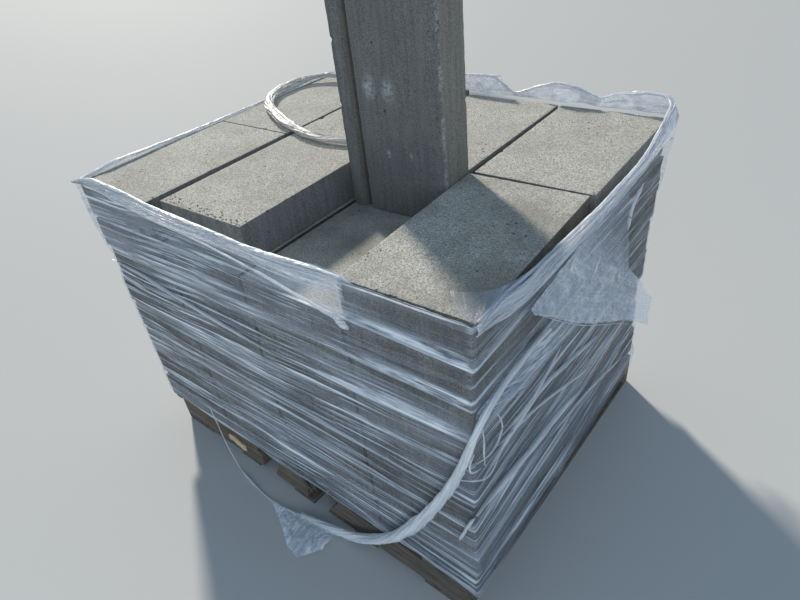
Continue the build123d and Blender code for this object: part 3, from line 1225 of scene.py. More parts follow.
@dataclass
class Wrap:
    """The film round the load, as it bridges the courses and hangs over the pallet.

    Attributes:
        clear: Gap between the film and what it touches.
        bridge: How fast the film falls back beside what it touches.
        columns: Grid spans round the load.
        rows: Grid spans up the load.
        corner: Radius of its upright corners.
        margin: How far inside a course's edges it starts to fall back.
        foot: Height below its hem, for what its folds take up; it is not used.
        courses: How many full courses there are.
    """

    clear: float = 0.0022
    bridge: float = 0.30
    columns: int = 520
    rows: int = 150
    corner: float = 0.007
    margin: float = 0.004
    foot: float = 0.06
    courses: int = 7

    # The rims and bands are (place along the side, height over the load's top),
    # and the hems are (place along the side, height over the ground).
    FRONT_RIM = (
        (-0.64, 0.006), (-0.60, 0.022), (-0.54, 0.030), (-0.41, 0.024), (-0.24, 0.012), (-0.05, 0.007),
        (0.10, 0.000), (0.20, 0.004), (0.28, 0.011), (0.34, 0.012), (0.38, 0.000), (0.46, 0.001),
        (0.64, 0.002),
    )
    FRONT_BAND = (
        (-0.64, 0.004), (-0.52, 0.000), (-0.38, -0.016), (-0.22, -0.026), (-0.06, -0.026), (0.06, -0.032),
        (0.16, -0.044), (0.25, -0.050), (0.33, -0.040), (0.36, -0.046),
    )
    RIGHT_BAND = (
        (-0.52, -0.020), (-0.40, -0.045), (-0.25, -0.055), (0.0, -0.060), (0.20, -0.050),
        (0.38, -0.030), (0.52, 0.002),
    )
    RIGHT_RIM = (
        (-0.52, 0.000), (-0.43, 0.010), (-0.30, 0.012), (-0.15, 0.004), (0.05, 0.000),
        (0.22, 0.004), (0.38, 0.022), (0.46, 0.034), (0.55, 0.048),
    )
    BACK_RIM = (
        (-0.64, 0.010), (-0.40, 0.012), (-0.15, 0.030), (-0.08, 0.050), (0.06, 0.056), (0.09, 0.060),
        (0.105, 0.026), (0.135, 0.002), (0.18, 0.018), (0.23, 0.038), (0.29, 0.055), (0.36, 0.048),
        (0.40, 0.034), (0.425, 0.020), (0.47, 0.038), (0.57, 0.054), (0.62, 0.050), (0.64, 0.048),
    )
    LEFT_RIM = (
        (-0.52, 0.002), (-0.47, 0.006), (-0.41, 0.016), (-0.32, 0.011), (-0.16, 0.006), (0.0, 0.005),
        (0.19, 0.004), (0.53, 0.010),
    )
    FRONT_HEM = (
        (-0.64, 0.150), (-0.50, 0.138), (-0.40, 0.130), (-0.19, 0.128), (-0.13, 0.118), (-0.04, 0.118),
        (0.10, 0.124), (0.30, 0.120), (0.45, 0.128), (0.57, 0.124), (0.64, 0.114),
    )
    RIGHT_HEM = ((-0.52, 0.114), (-0.35, 0.106), (-0.1, 0.094), (0.18, 0.082), (0.36, 0.078), (0.55, 0.073))
    BACK_HEM = ((-0.64, 0.120), (-0.2, 0.105), (0.2, 0.090), (0.64, 0.073))
    LEFT_HEM = ((-0.52, 0.150), (-0.1, 0.128), (0.2, 0.110), (0.53, 0.120))

    def __post_init__(self) -> None:
        """Reads where each course, the top blocks and the pallet stand."""
        self.layers = [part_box(f"block_course_{number + 1}") for number in range(self.courses)]
        tops = [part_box(name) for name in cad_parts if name.startswith("top_block")]
        low = Vector([min(box[0][i] for box in tops) for i in range(3)])
        high = Vector([max(box[1][i] for box in tops) for i in range(3)])
        self.layers.append((low, high))
        self.top = high.z
        self.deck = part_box("top_deck_board_1")[1].z
        first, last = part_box("top_deck_board_1"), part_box("top_deck_board_7")
        self.deck_left, self.deck_right = first[0].x, last[1].x
        self.deck_front = (first[0].y, last[0].y)
        self.deck_back = (first[1].y, last[1].y)
        self.left = min(box[0].x for box in self.layers)
        self.right = max(box[1].x for box in self.layers)
        self.front = min(box[0].y for box in self.layers)
        self.back = max(box[1].y for box in self.layers)

    def reach(self, side: Side, along: float, z: float) -> float:
        """How far out the film stands on a side, as a plain X or Y.

        Args:
            side: The side of the stack.
            along: X on the front and back, Y on the right and left.
            z: The height.

        Returns:
            The film's X or Y there.
        """
        sign = -1.0 if side in (Side.FRONT, Side.LEFT) else 1.0
        axis = 1 if side in (Side.FRONT, Side.BACK) else 0
        best = -math.inf
        for low, high in self.layers:
            edge = sign * (low[axis] if sign < 0 else high[axis])
            gap = max(0.0, low.z + self.margin - z, z - high.z + self.margin)
            best = max(best, edge - self.bridge * gap)
        share = min(1.0, max(0.0, (along - self.left) / (self.right - self.left)))
        plank = {
            Side.FRONT: -(self.deck_front[0] + (self.deck_front[1] - self.deck_front[0]) * share),
            Side.BACK: self.deck_back[0] + (self.deck_back[1] - self.deck_back[0]) * share,
            Side.LEFT: -self.deck_left,
            Side.RIGHT: self.deck_right,
        }[side]
        gap = max(0.0, z - self.deck)
        best = max(best, plank - self.bridge * gap)
        best += self.clear + self.slack(side, along, z)
        return sign * best

    def slack(self, side: Side, along: float, z: float) -> float:
        """Works out how far the film stands off at its loose rims and hems.

        Args:
            side: The side of the stack.
            along: The place along it.
            z: The height.

        Returns:
            The distance from where it would lie if tight.
        """
        loose = 0.0
        if side == Side.RIGHT:
            near = max(0.0, 1.0 - abs(z - self.top) / 0.075)
            loose += 0.020 * near * between(along, ((-0.46, 0.0), (-0.36, 1.0), (0.40, 0.8), (0.53, 0.3)))
        if side == Side.BACK and z > self.top - 0.03:
            wild = 0.014 * wave(along * 13.0, z * 16.0, 3.0) + 0.005
            wild += 0.004 * wave(along * 42.0, z * 60.0, 7.0)
            loose += wild * between(along, ((-0.62, 0.2), (-0.52, 1.0), (0.50, 1.0), (0.62, 0.2)))
        swell = wave(along * 3.0, z * 55.0, side.value * 9.0)
        fold = wave(along * 6.0 + z * 14.0, z * 130.0, 20.0 + side.value)
        return loose + 0.0016 * (swell + 0.6 * fold + 0.9)

    def ring(self, share: float) -> tuple[Side, float]:
        """Finds a place round the load, from the front left corner on.

        Args:
            share: The share of the way round.

        Returns:
            The side, and the place along it.
        """
        length, width = self.right - self.left, self.back - self.front
        way = share * 2.0 * (length + width)
        if way <= length:
            return Side.FRONT, self.left + way
        if way <= length + width:
            return Side.RIGHT, self.front + way - length
        if way <= 2.0 * length + width:
            return Side.BACK, self.right - (way - length - width)
        return Side.LEFT, self.back - (way - 2.0 * length - width)

    def rim(self, side: Side, along: float) -> float:
        """Height of the film's upper edge."""
        rim = getattr(self, f"{side.name}_RIM")
        return self.top + between(along, rim) + 0.0015 * wave(along * 40.0, side.value, 0.0)

    def hem(self, side: Side, along: float) -> float:
        """Height of the film's lower edge."""
        hem = getattr(self, f"{side.name}_HEM")
        return between(along, hem) + 0.003 * wave(along * 14.0, side.value, 5.0)

    def point(self, side: Side, along: float, z: float, out: float = 0.0) -> Vector:
        """Finds a point on the film, its corners rounded.

        Args:
            side: The side of the stack.
            along: The place along it.
            z: The height.
            out: How far out from the film the point is.

        Returns:
            The point.
        """
        lengthwise = side in (Side.FRONT, Side.BACK)
        first, last = (Side.LEFT, Side.RIGHT) if lengthwise else (Side.FRONT, Side.BACK)
        start, end = (self.left, self.right) if lengthwise else (self.front, self.back)
        face = self.reach(side, along, z)
        edge = self.reach(first if along < 0 else last, face, z)
        share = (along - start) / (end - start)
        place = self.reach(first, face, z) * (1.0 - share) + self.reach(last, face, z) * share
        inset = max(0.0, self.corner - abs(edge - place))
        off = out - inset * inset / (2.0 * self.corner)
        face += off if side in (Side.RIGHT, Side.BACK) else -off
        return Vector((place, face, z)) if lengthwise else Vector((face, place, z))

    def build(self) -> None:
        """Builds the wrap as one web round the load."""
        around = 2.0 * (self.right - self.left + self.back - self.front)

        def place(u: float, v: float) -> tuple[Vector, Place]:
            """Puts one point of the web.

            Args:
                u: Share of the way along.
                v: Share of the way across.

            Returns:
                The point, and its UV in metres.
            """
            side, along = self.ring(u)
            low, high = self.hem(side, along), self.rim(side, along)
            z = low + (high - low) * v
            return self.point(side, along, z), (u * around, z)

        web = web_grid(self.columns, self.rows, place)
        bmesh.ops.remove_doubles(web, verts=web.verts, dist=1e-6)
        bmesh.ops.recalc_face_normals(web, faces=web.faces)
        start = self.layers[0][0].z
        ledges = Ledges(start, self.layers[1][0].z - start, (self.right, self.front))
        finish = FilmFinish("wrapped_film", thin=0.06, thick=0.90, low=0.44, high=0.68, ledges=ledges)
        piece = add_piece("film_wrap", web, finish.material(), ["stretch_film"], smooth=True)


@dataclass
class GatheredFilm:
    """Film drawn together into a rope of folds.

    Attributes:
        name: The piece's name.
        route: Control points of its line.
        radii: (share of the way, radius) pairs, from 0 to 1.
        folds: How many folds it has round it.
        twist: Turns that it makes along its way.
        flat: How flat it is pressed, 1 being round.
        seed: Seed of its folds.
        step: Length of its grid's spans.
        least: The least flat width of the piece; it is not used.
    """

    name: str
    route: Sequence[Point]
    radii: Sequence[Place]
    folds: int = 12
    twist: float = 3.0
    flat: float = 1.0
    seed: int = 1
    step: float = 0.0035
    least: float = 0.0102

    def build(
        self, material: bpy.types.Material, replaces: Sequence[str] = (), rests_on: Sequence[str] = ()
    ) -> None:
        """Args:
            material: Its finish.
            replaces: The CAD nodes that it stands for.
            rests_on: The pieces that it lies on; it is not used.
        """
        line = smooth_line(self.route)
        lengths = [0.0]
        for first, second in zip(line, line[1:]):
            lengths.append(lengths[-1] + (second - first).length)
        total = lengths[-1]

        def frame_at(share: float) -> tuple[Vector, Vector, Vector]:
            """Finds a point of the route.

            Args:
                share: Share of the way along it.

            Returns:
                The point, and the directions sideways and upward from it.
            """
            way = share * total
            index = max(1, next((i for i, l in enumerate(lengths) if l >= way - 1e-9), len(line) - 1))
            span = max(1e-9, lengths[index] - lengths[index - 1])
            here = line[index - 1].lerp(line[index], (way - lengths[index - 1]) / span)
            ahead = line[min(len(line) - 1, index + 1)] - line[max(0, index - 2)]
            ahead.normalize()
            side = ahead.cross(Vector((0.0, 0.0, 1.0)))
            if side.length < 0.2:
                side = ahead.cross(Vector((0.0, 1.0, 0.0)))
            side.normalize()
            return here, side, side.cross(ahead).normalized()

        def place(u: float, v: float) -> tuple[Vector, Place]:
            """Puts one point of the web.

            Args:
                u: Share of the way along.
                v: Share of the way across.

            Returns:
                The point, and its UV in metres.
            """
            here, side, up = frame_at(u)
            radius = between(u, self.radii)
            turn = 2.0 * math.pi * v
            spin = self.twist * 2.0 * math.pi * u + 0.6 * wave(u * total * 6.0, self.seed, 0.0)
            ring = Vector((math.cos(turn), math.sin(turn), 0.0))
            bend = 1.6 * noise.noise(ring * 0.8 + Vector((0.0, self.seed, u * total * 5.0)))
            fold = math.sin(self.folds * turn + bend)
            lump = noise.noise(ring * 1.6 + Vector((self.seed, 0.0, u * total * 16.0)))
            crease = noise.noise(ring * 3.4 + Vector((0.0, self.seed, u * total * 60.0)))
            swell = radius * (0.86 + 0.09 * fold + 0.26 * lump + 0.12 * crease)
            x = swell * math.cos(turn + spin)
            y = swell * math.sin(turn + spin) * self.flat
            return here + side * x + up * y, (u * total, 9.0 * radius * v)

        steps = max(12, int(total / self.step))
        web = web_grid(steps, 5 * self.folds, place)
        width = sum(face.calc_area() for face in web.faces) / total
        piece = add_piece(self.name, web, material, replaces, smooth=True)


@dataclass(frozen=True)
class Crease:
    """A drawn fold on a side of the film.

    Attributes:
        name: The piece's name.
        side: The side that it lies on.
        radius: Half its width.
        out: How far it stands off the film.
        points: Its points, as the place along the side and the height.
    """

    name: str
    side: Side
    radius: float
    out: float
    points: tuple[Place, ...]


@dataclass
class LooseFilm:
    """The film's loose parts: rims, the flap, the loop, the tail and its torn end.

    Attributes:
        wrap: The film round the load, which they lie on.
        band_web: Width of the film that is drawn into a band, for its pattern.
        layer: Thickness of a rim's layers.
    """

    wrap: Wrap
    band_web: float = 0.12
    layer: float = 0.0012

    # The whitest milky film of the rims, partly its own milkiness and partly painted light shining through.
    BRIGHT = (0.98, 0.99, 1.0, 1.0)
    # Lower edge of the back and left bands, as (place along, height over the load's top).
    FOLDED_EDGE = ((0.0, -0.006),)
    # Places along the front of the cords at its band's top and foot, and the foot's heights.
    FRONT_TOP = (
        -0.648, -0.60, -0.54, -0.46, -0.38, -0.30, -0.20, -0.10, 0.0, 0.10, 0.18, 0.26, 0.31, 0.352,
    )
    FRONT_FOOT = (-0.46, -0.36, -0.26, -0.16, -0.06, 0.04, 0.12, 0.20, 0.27, 0.325)
    FOOT_HEIGHTS = (
        (-0.46, -0.004), (-0.26, -0.022), (-0.06, -0.034), (0.12, -0.056), (0.27, -0.084), (0.33, -0.098),
    )
    # Places of the rolled edge along each side.
    ROLLED_EDGE = (
        (Side.RIGHT, (-0.50, -0.43, -0.34, -0.24, -0.12, 0.0, 0.12, 0.24, 0.35, 0.44, 0.51)),
        (Side.BACK, (
            0.62, 0.57, 0.51, 0.46, 0.42, 0.39, 0.33, 0.28, 0.22, 0.17, 0.13, 0.10, 0.07, 0.0,
            -0.08, -0.2, -0.35, -0.5, -0.62,
        )),
        (Side.LEFT, (0.50, 0.38, 0.26, 0.14, 0.0, -0.14, -0.26, -0.36, -0.44, -0.50)),
    )
    # Threads, tail and strand are (x, y, height) from the front right corner,
    # and the loop is (x, y, height over the load's top).
    THREADS = (
        ((0.012, 0.000, 0.712), (0.016, 0.006, 0.670), (0.014, 0.002, 0.634), (0.011, 0.012, 0.585)),
        ((0.004, -0.016, 0.640), (-0.006, -0.022, 0.606), (-0.002, -0.018, 0.575), (0.010, -0.002, 0.590)),
        (
            (0.010, 0.060, 0.690), (0.010, 0.090, 0.640), (0.010, 0.070, 0.600), (0.012, 0.020, 0.598),
            (0.006, -0.012, 0.612),
        ),
        (
            (0.010, 0.080, 0.560), (0.010, 0.050, 0.535), (0.012, 0.015, 0.540), (0.000, -0.020, 0.560),
            (-0.03, -0.020, 0.545),
        ),
    )
    LOOP = (
        (-0.010, 0.130, 0.010), (-0.008, 0.050, 0.010), (-0.060, 0.010, 0.011), (-0.150, -0.006, 0.012),
        (-0.202, -0.008, 0.012), (-0.263, 0.006, 0.013), (-0.333, 0.029, 0.013), (-0.409, 0.060, 0.013),
        (-0.489, 0.100, 0.013), (-0.582, 0.160, 0.014), (-0.646, 0.240, 0.015), (-0.668, 0.330, 0.015),
        (-0.655, 0.410, 0.017), (-0.587, 0.466, 0.022), (-0.480, 0.485, 0.028), (-0.360, 0.470, 0.032),
        (-0.240, 0.430, 0.032), (-0.120, 0.330, 0.020), (-0.040, 0.220, 0.012),
    )
    TAIL = (
        (0.0085, 0.290, 0.738), (0.0090, 0.210, 0.747), (0.0100, 0.110, 0.746), (0.0135, 0.030, 0.738),
        (0.0073, -0.0147, 0.700), (-0.0167, -0.0117, 0.610), (-0.0527, -0.0113, 0.510),
        (-0.0947, -0.0113, 0.412), (-0.1437, -0.0117, 0.315), (-0.1997, -0.0167, 0.222),
        (-0.2667, -0.0207, 0.135), (-0.3407, -0.0267, 0.070), (-0.4227, -0.0317, 0.028),
        (-0.5107, -0.0407, 0.013), (-0.5987, -0.0537, 0.0105),
    )
    STRAND = (
        (-0.6127, -0.0567, 0.006), (-0.6707, -0.0627, 0.004), (-0.7327, -0.0647, 0.0035),
        (-0.7907, -0.0577, 0.0035), (-0.8507, -0.0477, 0.0035), (-0.9027, -0.0367, 0.006),
        (-0.9457, -0.0257, 0.036), (-0.9787, -0.0157, 0.088), (-1.0027, -0.0067, 0.148),
        (-1.0187, -0.0032, 0.205),
    )
    CREASES = (
        Crease("film_flap_edge", Side.RIGHT, 0.0045, 0.014, (
            (0.262, 0.862), (0.230, 0.826), (0.220, 0.797), (0.226, 0.757),
        )),
        Crease("film_flap_crease", Side.RIGHT, 0.0025, 0.016, (
            (0.080, 0.825), (-0.014, 0.830), (-0.084, 0.836), (-0.117, 0.838),
        )),
        Crease("film_flap_fold", Side.RIGHT, 0.0028, 0.016, (
            (0.035, 0.781), (0.019, 0.769), (-0.001, 0.748),
        )),
        Crease("film_tear_tip", Side.RIGHT, 0.0032, 0.014, (
            (-0.138, 0.876), (-0.150, 0.866), (-0.157, 0.838),
        )),
        Crease("film_flap_hem", Side.RIGHT, 0.0026, 0.011, (
            (-0.31, 0.836), (-0.221, 0.765), (-0.097, 0.665), (0.020, 0.581), (0.155, 0.494),
            (0.364, 0.354), (0.450, 0.293),
        )),
        Crease("film_drawn_band", Side.RIGHT, 0.0065, 0.006, (
            (0.125, 0.470), (0.020, 0.497), (-0.082, 0.523), (-0.217, 0.556), (-0.343, 0.545),
            (-0.500, 0.515),
        )),
        Crease("film_drawn_line", Side.RIGHT, 0.0030, 0.006, (
            (0.34, 0.560), (0.12, 0.610), (-0.12, 0.640), (-0.33, 0.655), (-0.505, 0.665),
        )),
        Crease("film_left_line", Side.FRONT, 0.0058, 0.004, (
            (-0.652, 0.690), (-0.570, 0.688), (-0.484, 0.681), (-0.395, 0.664), (-0.295, 0.656),
            (-0.100, 0.633), (0.05, 0.625),
        )),
        Crease("film_front_line", Side.FRONT, 0.0030, 0.003, (
            (0.640, 0.845), (0.56, 0.842), (0.44, 0.846), (0.33, 0.850), (0.20, 0.842), (0.08, 0.846),
        )),
        Crease("film_side_line", Side.RIGHT, 0.0042, 0.008, (
            (-0.427, 0.556), (-0.332, 0.537), (-0.184, 0.493), (-0.029, 0.424), (0.131, 0.348),
        )),
        Crease("film_side_low_line", Side.RIGHT, 0.0040, 0.008, (
            (-0.143, 0.312), (-0.005, 0.288), (0.152, 0.261), (0.404, 0.197),
        )),
        Crease("film_side_upper_line", Side.RIGHT, 0.0036, 0.010, (
            (-0.412, 0.575), (-0.316, 0.563), (-0.212, 0.574), (-0.123, 0.616),
        )),
        Crease("film_low_fold", Side.RIGHT, 0.0085, 0.009, (
            (-0.523, 0.409), (-0.474, 0.403), (-0.41, 0.392), (-0.332, 0.373), (-0.229, 0.357),
            (-0.148, 0.351), (-0.03, 0.338), (0.05, 0.322),
        )),
        Crease("film_low_fold_end", Side.FRONT, 0.0085, 0.008, (
            (0.598, 0.287), (0.612, 0.322), (0.629, 0.358), (0.6475, 0.404),
        )),
        Crease("film_corner_edge", Side.FRONT, 0.0026, 0.002, (
            (0.350, 0.934), (0.42, 0.9365), (0.50, 0.937), (0.58, 0.938), (0.638, 0.938),
        )),
        Crease("film_front_low_line", Side.FRONT, 0.0032, 0.003, (
            (-0.45, 0.470), (-0.20, 0.462), (0.05, 0.458), (0.30, 0.447), (0.50, 0.440),
        )),
    )

    def __post_init__(self) -> None:
        """Makes the finish that all the cords share."""
        self.rope = FilmFinish(
            "gathered_film", thin=0.55, thick=0.97, low=0.32, high=0.54, slope=14.0, glow=0.7,
            shine=(0.28, 0.50), tint=(0.78, 0.84, 0.93, 1.0), white=(0.97, 0.98, 1.0, 1.0),
        ).material()

    def build(self) -> None:
        """Builds each loose part of the film."""
        self.rims()
        self.cords()
        self.knot()
        self.threads()
        self.rim_edge()
        self.loop()
        self.tail()
        self.tail_end()
        self.flap()
        self.fan()
        self.corner_veil()
        self.creases()

    def corner(self) -> Place:
        """X and Y of the front right corner of the CAD's wrap."""
        low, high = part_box("stretch_film")
        return high.x, low.y

    def from_corner(self, points: Sequence[Point]) -> list[Point]:
        """Puts points in place from the front right corner.

        Args:
            points: Their X and Y from that corner, and Z from the ground.

        Returns:
            The points in the part's own frame.
        """
        right, front = self.corner()
        return [(right + x, front + y, z) for x, y, z in points]

    def cord(self, name: str, route: Sequence[Point], radii: Sequence[Place], **shape: float) -> None:
        """Builds one cord of drawn film that lies on the wrap.

        Args:
            name: The piece's name.
            route: Control points of its line.
            radii: (share of the way, radius) pairs.
            shape: The rest of its shape, as GatheredFilm names it.
        """
        GatheredFilm(name, route, radii, **shape).build(self.rope, rests_on=["film_wrap"])

    def rim_band(
        self, name: str, side: Side, span: Place, band: Sequence[Place], folds: float, stand: float,
        material: bpy.types.Material,
    ) -> None:
        """Builds one side's upper edge of the film, gathered into a band of folds.

        Args:
            name: The piece's name.
            side: The side of the load.
            span: Where it starts and ends along that side.
            band: Its lower edge, as (place along, height over the load's top).
            folds: How many folds lie across it.
            stand: How far it stands off the wrap.
            material: Its finish.
        """
        wrap = self.wrap
        start, end = span

        def place(u: float, v: float) -> tuple[Vector, Place]:
            """Puts one point of the web.

            Args:
                u: Share of the way along.
                v: Share of the way across.

            Returns:
                The point, and its UV in metres.
            """
            along = start + (end - start) * u
            high = wrap.rim(side, along) + 0.002
            low = wrap.top + between(along, band)
            sway = 0.5 * wave(along * 2.2, 4.0, 1.0 + side.value)
            ripple = 0.6 * wave(along * 7.0, v * 3.0, 8.0)
            fold = 0.5 + 0.5 * math.sin(2.0 * math.pi * (folds * v + 2.5 * sway + ripple))
            crown = math.sin(math.pi * min(1.0, v * 1.15)) ** 0.6 if v < 0.87 else 1.0
            rough = wave(along * 60.0, v * 14.0, 2.0)
            out = 0.0025 + crown * stand * (0.5 + 0.45 * fold + 0.12 * rough)
            z = low + (high - low) * v + 0.001 * rough
            return wrap.point(side, along, z, out), (along, v * self.band_web)

        piece = add_piece(name, web_grid(220, 36, place), material, smooth=True)
        layers = piece.modifiers.new("layers", "SOLIDIFY")
        layers.thickness = self.layer
        layers.offset = 0.0

    def rims(self) -> None:
        """Builds the drawn bands of the front and right, and the crushed ones of the back and left."""
        drawn = FilmFinish(
            "rim_film", thin=0.06, thick=1.0, low=0.46, high=0.60, slope=1.5, glow=0.6,
            tint=(0.50, 0.58, 0.70, 1.0), white=self.BRIGHT,
        ).material()
        pulled = FilmFinish(
            "side_rim_film", thin=0.16, thick=1.0, low=0.38, high=0.54, slope=1.5, glow=0.6,
            white=self.BRIGHT,
        ).material()
        crushed = FilmFinish(
            "crushed_film", thin=0.34, thick=0.95, low=0.42, high=0.62, crumple=0.85, glow=0.6,
            white=(0.84, 0.86, 0.88, 1.0),
        ).material()
        rows = (
            ("film_front_rim", Side.FRONT, (-0.646, 0.356), self.wrap.FRONT_BAND, 7.0, 0.010, drawn),
            ("film_right_rim", Side.RIGHT, (-0.512, 0.515), self.wrap.RIGHT_BAND, 6.0, 0.008, pulled),
            ("film_back_rim", Side.BACK, (-0.62, 0.625), self.FOLDED_EDGE, 2.0, 0.007, crushed),
            ("film_left_rim", Side.LEFT, (-0.50, 0.50), self.FOLDED_EDGE, 1.0, 0.002, crushed),
        )
        for row in rows:
            self.rim_band(*row)

    def rim_edge(self) -> None:
        """Builds the thin rolled edge of the film round the right, back and left sides."""
        wrap = self.wrap
        route = []
        for side, places in self.ROLLED_EDGE:
            route += [wrap.point(side, a, wrap.rim(side, a) - 0.001, 0.001) for a in places]
        radii = (
            (0.0, 0.003), (0.12, 0.0045), (0.3, 0.0032), (0.55, 0.0026), (0.75, 0.0024), (0.9, 0.0042),
            (1.0, 0.005),
        )
        self.cord("film_rim_edge", route, radii, folds=3, twist=12.0, flat=0.9, seed=5)

    def cords(self) -> None:
        """Builds the cords into which the bands are drawn, and those at the front band's top and foot."""
        wrap, front = self.wrap, Side.FRONT
        route = [wrap.point(front, x, wrap.rim(front, x) - 0.001, 0.006) for x in self.FRONT_TOP]
        radii = ((0.0, 0.0045), (0.15, 0.0062), (0.3, 0.0050), (0.6, 0.0058), (0.8, 0.0064), (1.0, 0.003))
        self.cord("film_front_cord", route, radii, folds=4, twist=6.0, flat=0.8, seed=61)
        self.band_cords(front, (-0.62, 0.34), wrap.FRONT_BAND, 7)
        self.band_cords(Side.RIGHT, (-0.50, 0.50), wrap.RIGHT_BAND, 4)
        places = [(x, wrap.top + between(x, self.FOOT_HEIGHTS)) for x in self.FRONT_FOOT]
        route = [wrap.point(front, x, z, 0.008) for x, z in places]
        radii = ((0.0, 0.0015), (0.2, 0.0035), (0.5, 0.0028), (0.85, 0.0042), (1.0, 0.005))
        self.cord("film_foot_cord", route, radii, folds=4, twist=4.0, flat=0.8, seed=62)

    def band_cords(self, side: Side, span: Place, band: Sequence[Place], count: int) -> None:
        """Builds thin cords of drawn film that wander along a side's band.

        Args:
            side: The side of the load.
            span: Where they start and end along that side.
            band: The band's lower edge, as (place along, height over the load's top).
            count: How many there are.
        """
        wrap, length = self.wrap, span[1] - span[0]
        radii = ((0.0, 0.0014), (0.25, 0.0034), (0.5, 0.0024), (0.75, 0.0036), (1.0, 0.0014))
        for number in range(count):
            start = span[0] + length * 0.10 * (number % 3)
            end = span[1] - length * 0.12 * ((number + 1) % 3)
            route = []
            for step in range(15):
                along = start + (end - start) * step / 14.0
                low, high = wrap.top + between(along, band), wrap.rim(side, along)
                share = (number + 1.6) / (count + 1.0) + 0.30 * wave(along * 2.4, number * 3.0, side.value)
                route.append(wrap.point(side, along, low + (high - low) * min(1.0, max(0.0, share)), 0.008))
            name = f"film_{side.name.lower()}_cord_{number}"
            self.cord(name, route, radii, folds=3, twist=5.0, flat=0.8, seed=70 + number)

    def knot(self) -> None:
        """Builds the wad of film by the top block's lower front corner."""
        y = self.wrap.reach(Side.FRONT, 0.335, 0.84)
        route = [
            (0.318, y - 0.006, 0.853), (0.330, y - 0.009, 0.842), (0.340, y - 0.010, 0.834),
            (0.352, y - 0.006, 0.824),
        ]
        radii = ((0.0, 0.003), (0.35, 0.009), (0.7, 0.008), (1.0, 0.003))
        self.cord("film_knot", route, radii, folds=5, twist=1.0, seed=21)

    def threads(self) -> None:
        """Builds the thin strands that have come off the tail at the front corner."""
        radii = ((0.0, 0.0014), (0.5, 0.0024), (1.0, 0.0012))
        for number, line in enumerate(self.THREADS):
            route = self.from_corner(line)
            self.cord(f"film_thread_{number}", route, radii, folds=3, twist=2.0, seed=50 + number)

    def loop(self) -> None:
        """Builds the rim's fallen loop on the blocks at the back left."""
        ribbon = FilmFinish(
            "loop_film", thin=0.42, thick=0.94, low=0.36, high=0.60, glow=0.3,
            shine=(0.40, 0.60), tint=(0.35, 0.36, 0.36, 1.0), white=(0.46, 0.47, 0.45, 1.0),
        ).material()
        route = [(x, y, self.wrap.top + z) for x, y, z in self.LOOP]
        radii = (
            (0.0, 0.008), (0.12, 0.014), (0.3, 0.022), (0.42, 0.018), (0.52, 0.022), (0.60, 0.018),
            (0.66, 0.023), (0.8, 0.018), (1.0, 0.008),
        )
        GatheredFilm("film_loop_rope", route, radii, folds=9, twist=1.2, flat=0.50, seed=8).build(
            ribbon, ["film_loop"], ["concrete_top_block_back_left"]
        )

    def tail(self) -> None:
        """Builds the gathered tail across the front corner, and the strand that runs on from it."""
        radii = (
            (0.0, 0.005), (0.15, 0.006), (0.24, 0.0075), (0.31, 0.010), (0.39, 0.012), (0.47, 0.014),
            (0.57, 0.0165), (0.75, 0.0155), (0.9, 0.014), (1.0, 0.011),
        )
        route = self.from_corner(self.TAIL)
        GatheredFilm("film_tail_rope", route, radii, folds=9, twist=1.6, seed=11).build(
            self.rope, ["film_tail"], ["film_wrap"]
        )
        radii = ((0.0, 0.006), (0.12, 0.0028), (0.3, 0.0022), (0.42, 0.0045), (0.55, 0.0019), (1.0, 0.0015))
        route = self.from_corner(self.STRAND)
        GatheredFilm("film_strand", route, radii, folds=3, twist=3.0, seed=14).build(
            self.rope, ["film_tail_strand"]
        )

    def tail_end(self) -> None:
        """Builds the torn end that fans out on the ground from the tail."""
        right, front = self.corner()
        spine = ((-0.455, -0.0385), (-0.530, -0.045), (-0.610, -0.058), (-0.700, -0.0745))
        edge = ((-0.470, -0.100), (-0.515, -0.158), (-0.560, -0.150), (-0.640, -0.104))

        def place(u: float, v: float) -> tuple[Vector, Place]:
            """Puts one point of the web.

            Args:
                u: Share of the way along.
                v: Share of the way across.

            Returns:
                The point, and its UV in metres.
            """
            index = min(2, int(u * 3.0))
            share = u * 3.0 - index
            start = Vector(spine[index]).lerp(Vector(spine[index + 1]), share)
            end = Vector(edge[index]).lerp(Vector(edge[index + 1]), share)
            flat = start.lerp(end, v)
            fold = wave(u * 9.0, v * 2.0, 4.0) + 0.6 * wave(u * 24.0, v * 5.0, 9.0)
            z = 0.012 * (1.0 - v) + 0.004 + 0.007 * abs(fold) + 0.010 * math.sin(math.pi * v) * (1.0 - u)
            return Vector((right + flat.x, front + flat.y, z)), (flat.y * 1.5, flat.x * 1.5)

        finish = FilmFinish("loose_film", thin=0.22, thick=0.90, low=0.42, high=0.62, crumple=0.6)
        web = web_grid(60, 30, place)
        piece = add_piece(
            "film_torn_end", web, finish.material(), ["film_tail_end"], smooth=True
        )

    def side_web(
        self, lower: Sequence[Place], upper: Sequence[Place], columns: int, rows: int,
        out: Callable[[float, float, float, float], float],
    ) -> bmesh.types.BMesh:
        """Makes a sheet on the right side between two lines of (place along, height).

        Args:
            lower: Its lower line.
            upper: Its upper line, with as many points.
            columns: Spans along it.
            rows: Spans across it.
            out: How far off the film it stands, for both shares and its Y and Z.

        Returns:
            The bmesh, its UV the metres along the lower line and up from it.
        """
        last = len(lower) - 1

        def place(u: float, v: float) -> tuple[Vector, Place]:
            """Puts one point of the web.

            Args:
                u: Share of the way along.
                v: Share of the way across.

            Returns:
                The point, and its UV in metres.
            """
            index = min(last - 1, int(u * last))
            share = u * last - index
            start = Vector(lower[index]).lerp(Vector(lower[index + 1]), share)
            end = Vector(upper[index]).lerp(Vector(upper[index + 1]), share)
            flat = start.lerp(end, v)
            x = self.wrap.reach(Side.RIGHT, flat.x, flat.y) + out(u, v, flat.x, flat.y)
            return Vector((x, flat.x, flat.y)), (u * 1.1, v * (end - start).length)

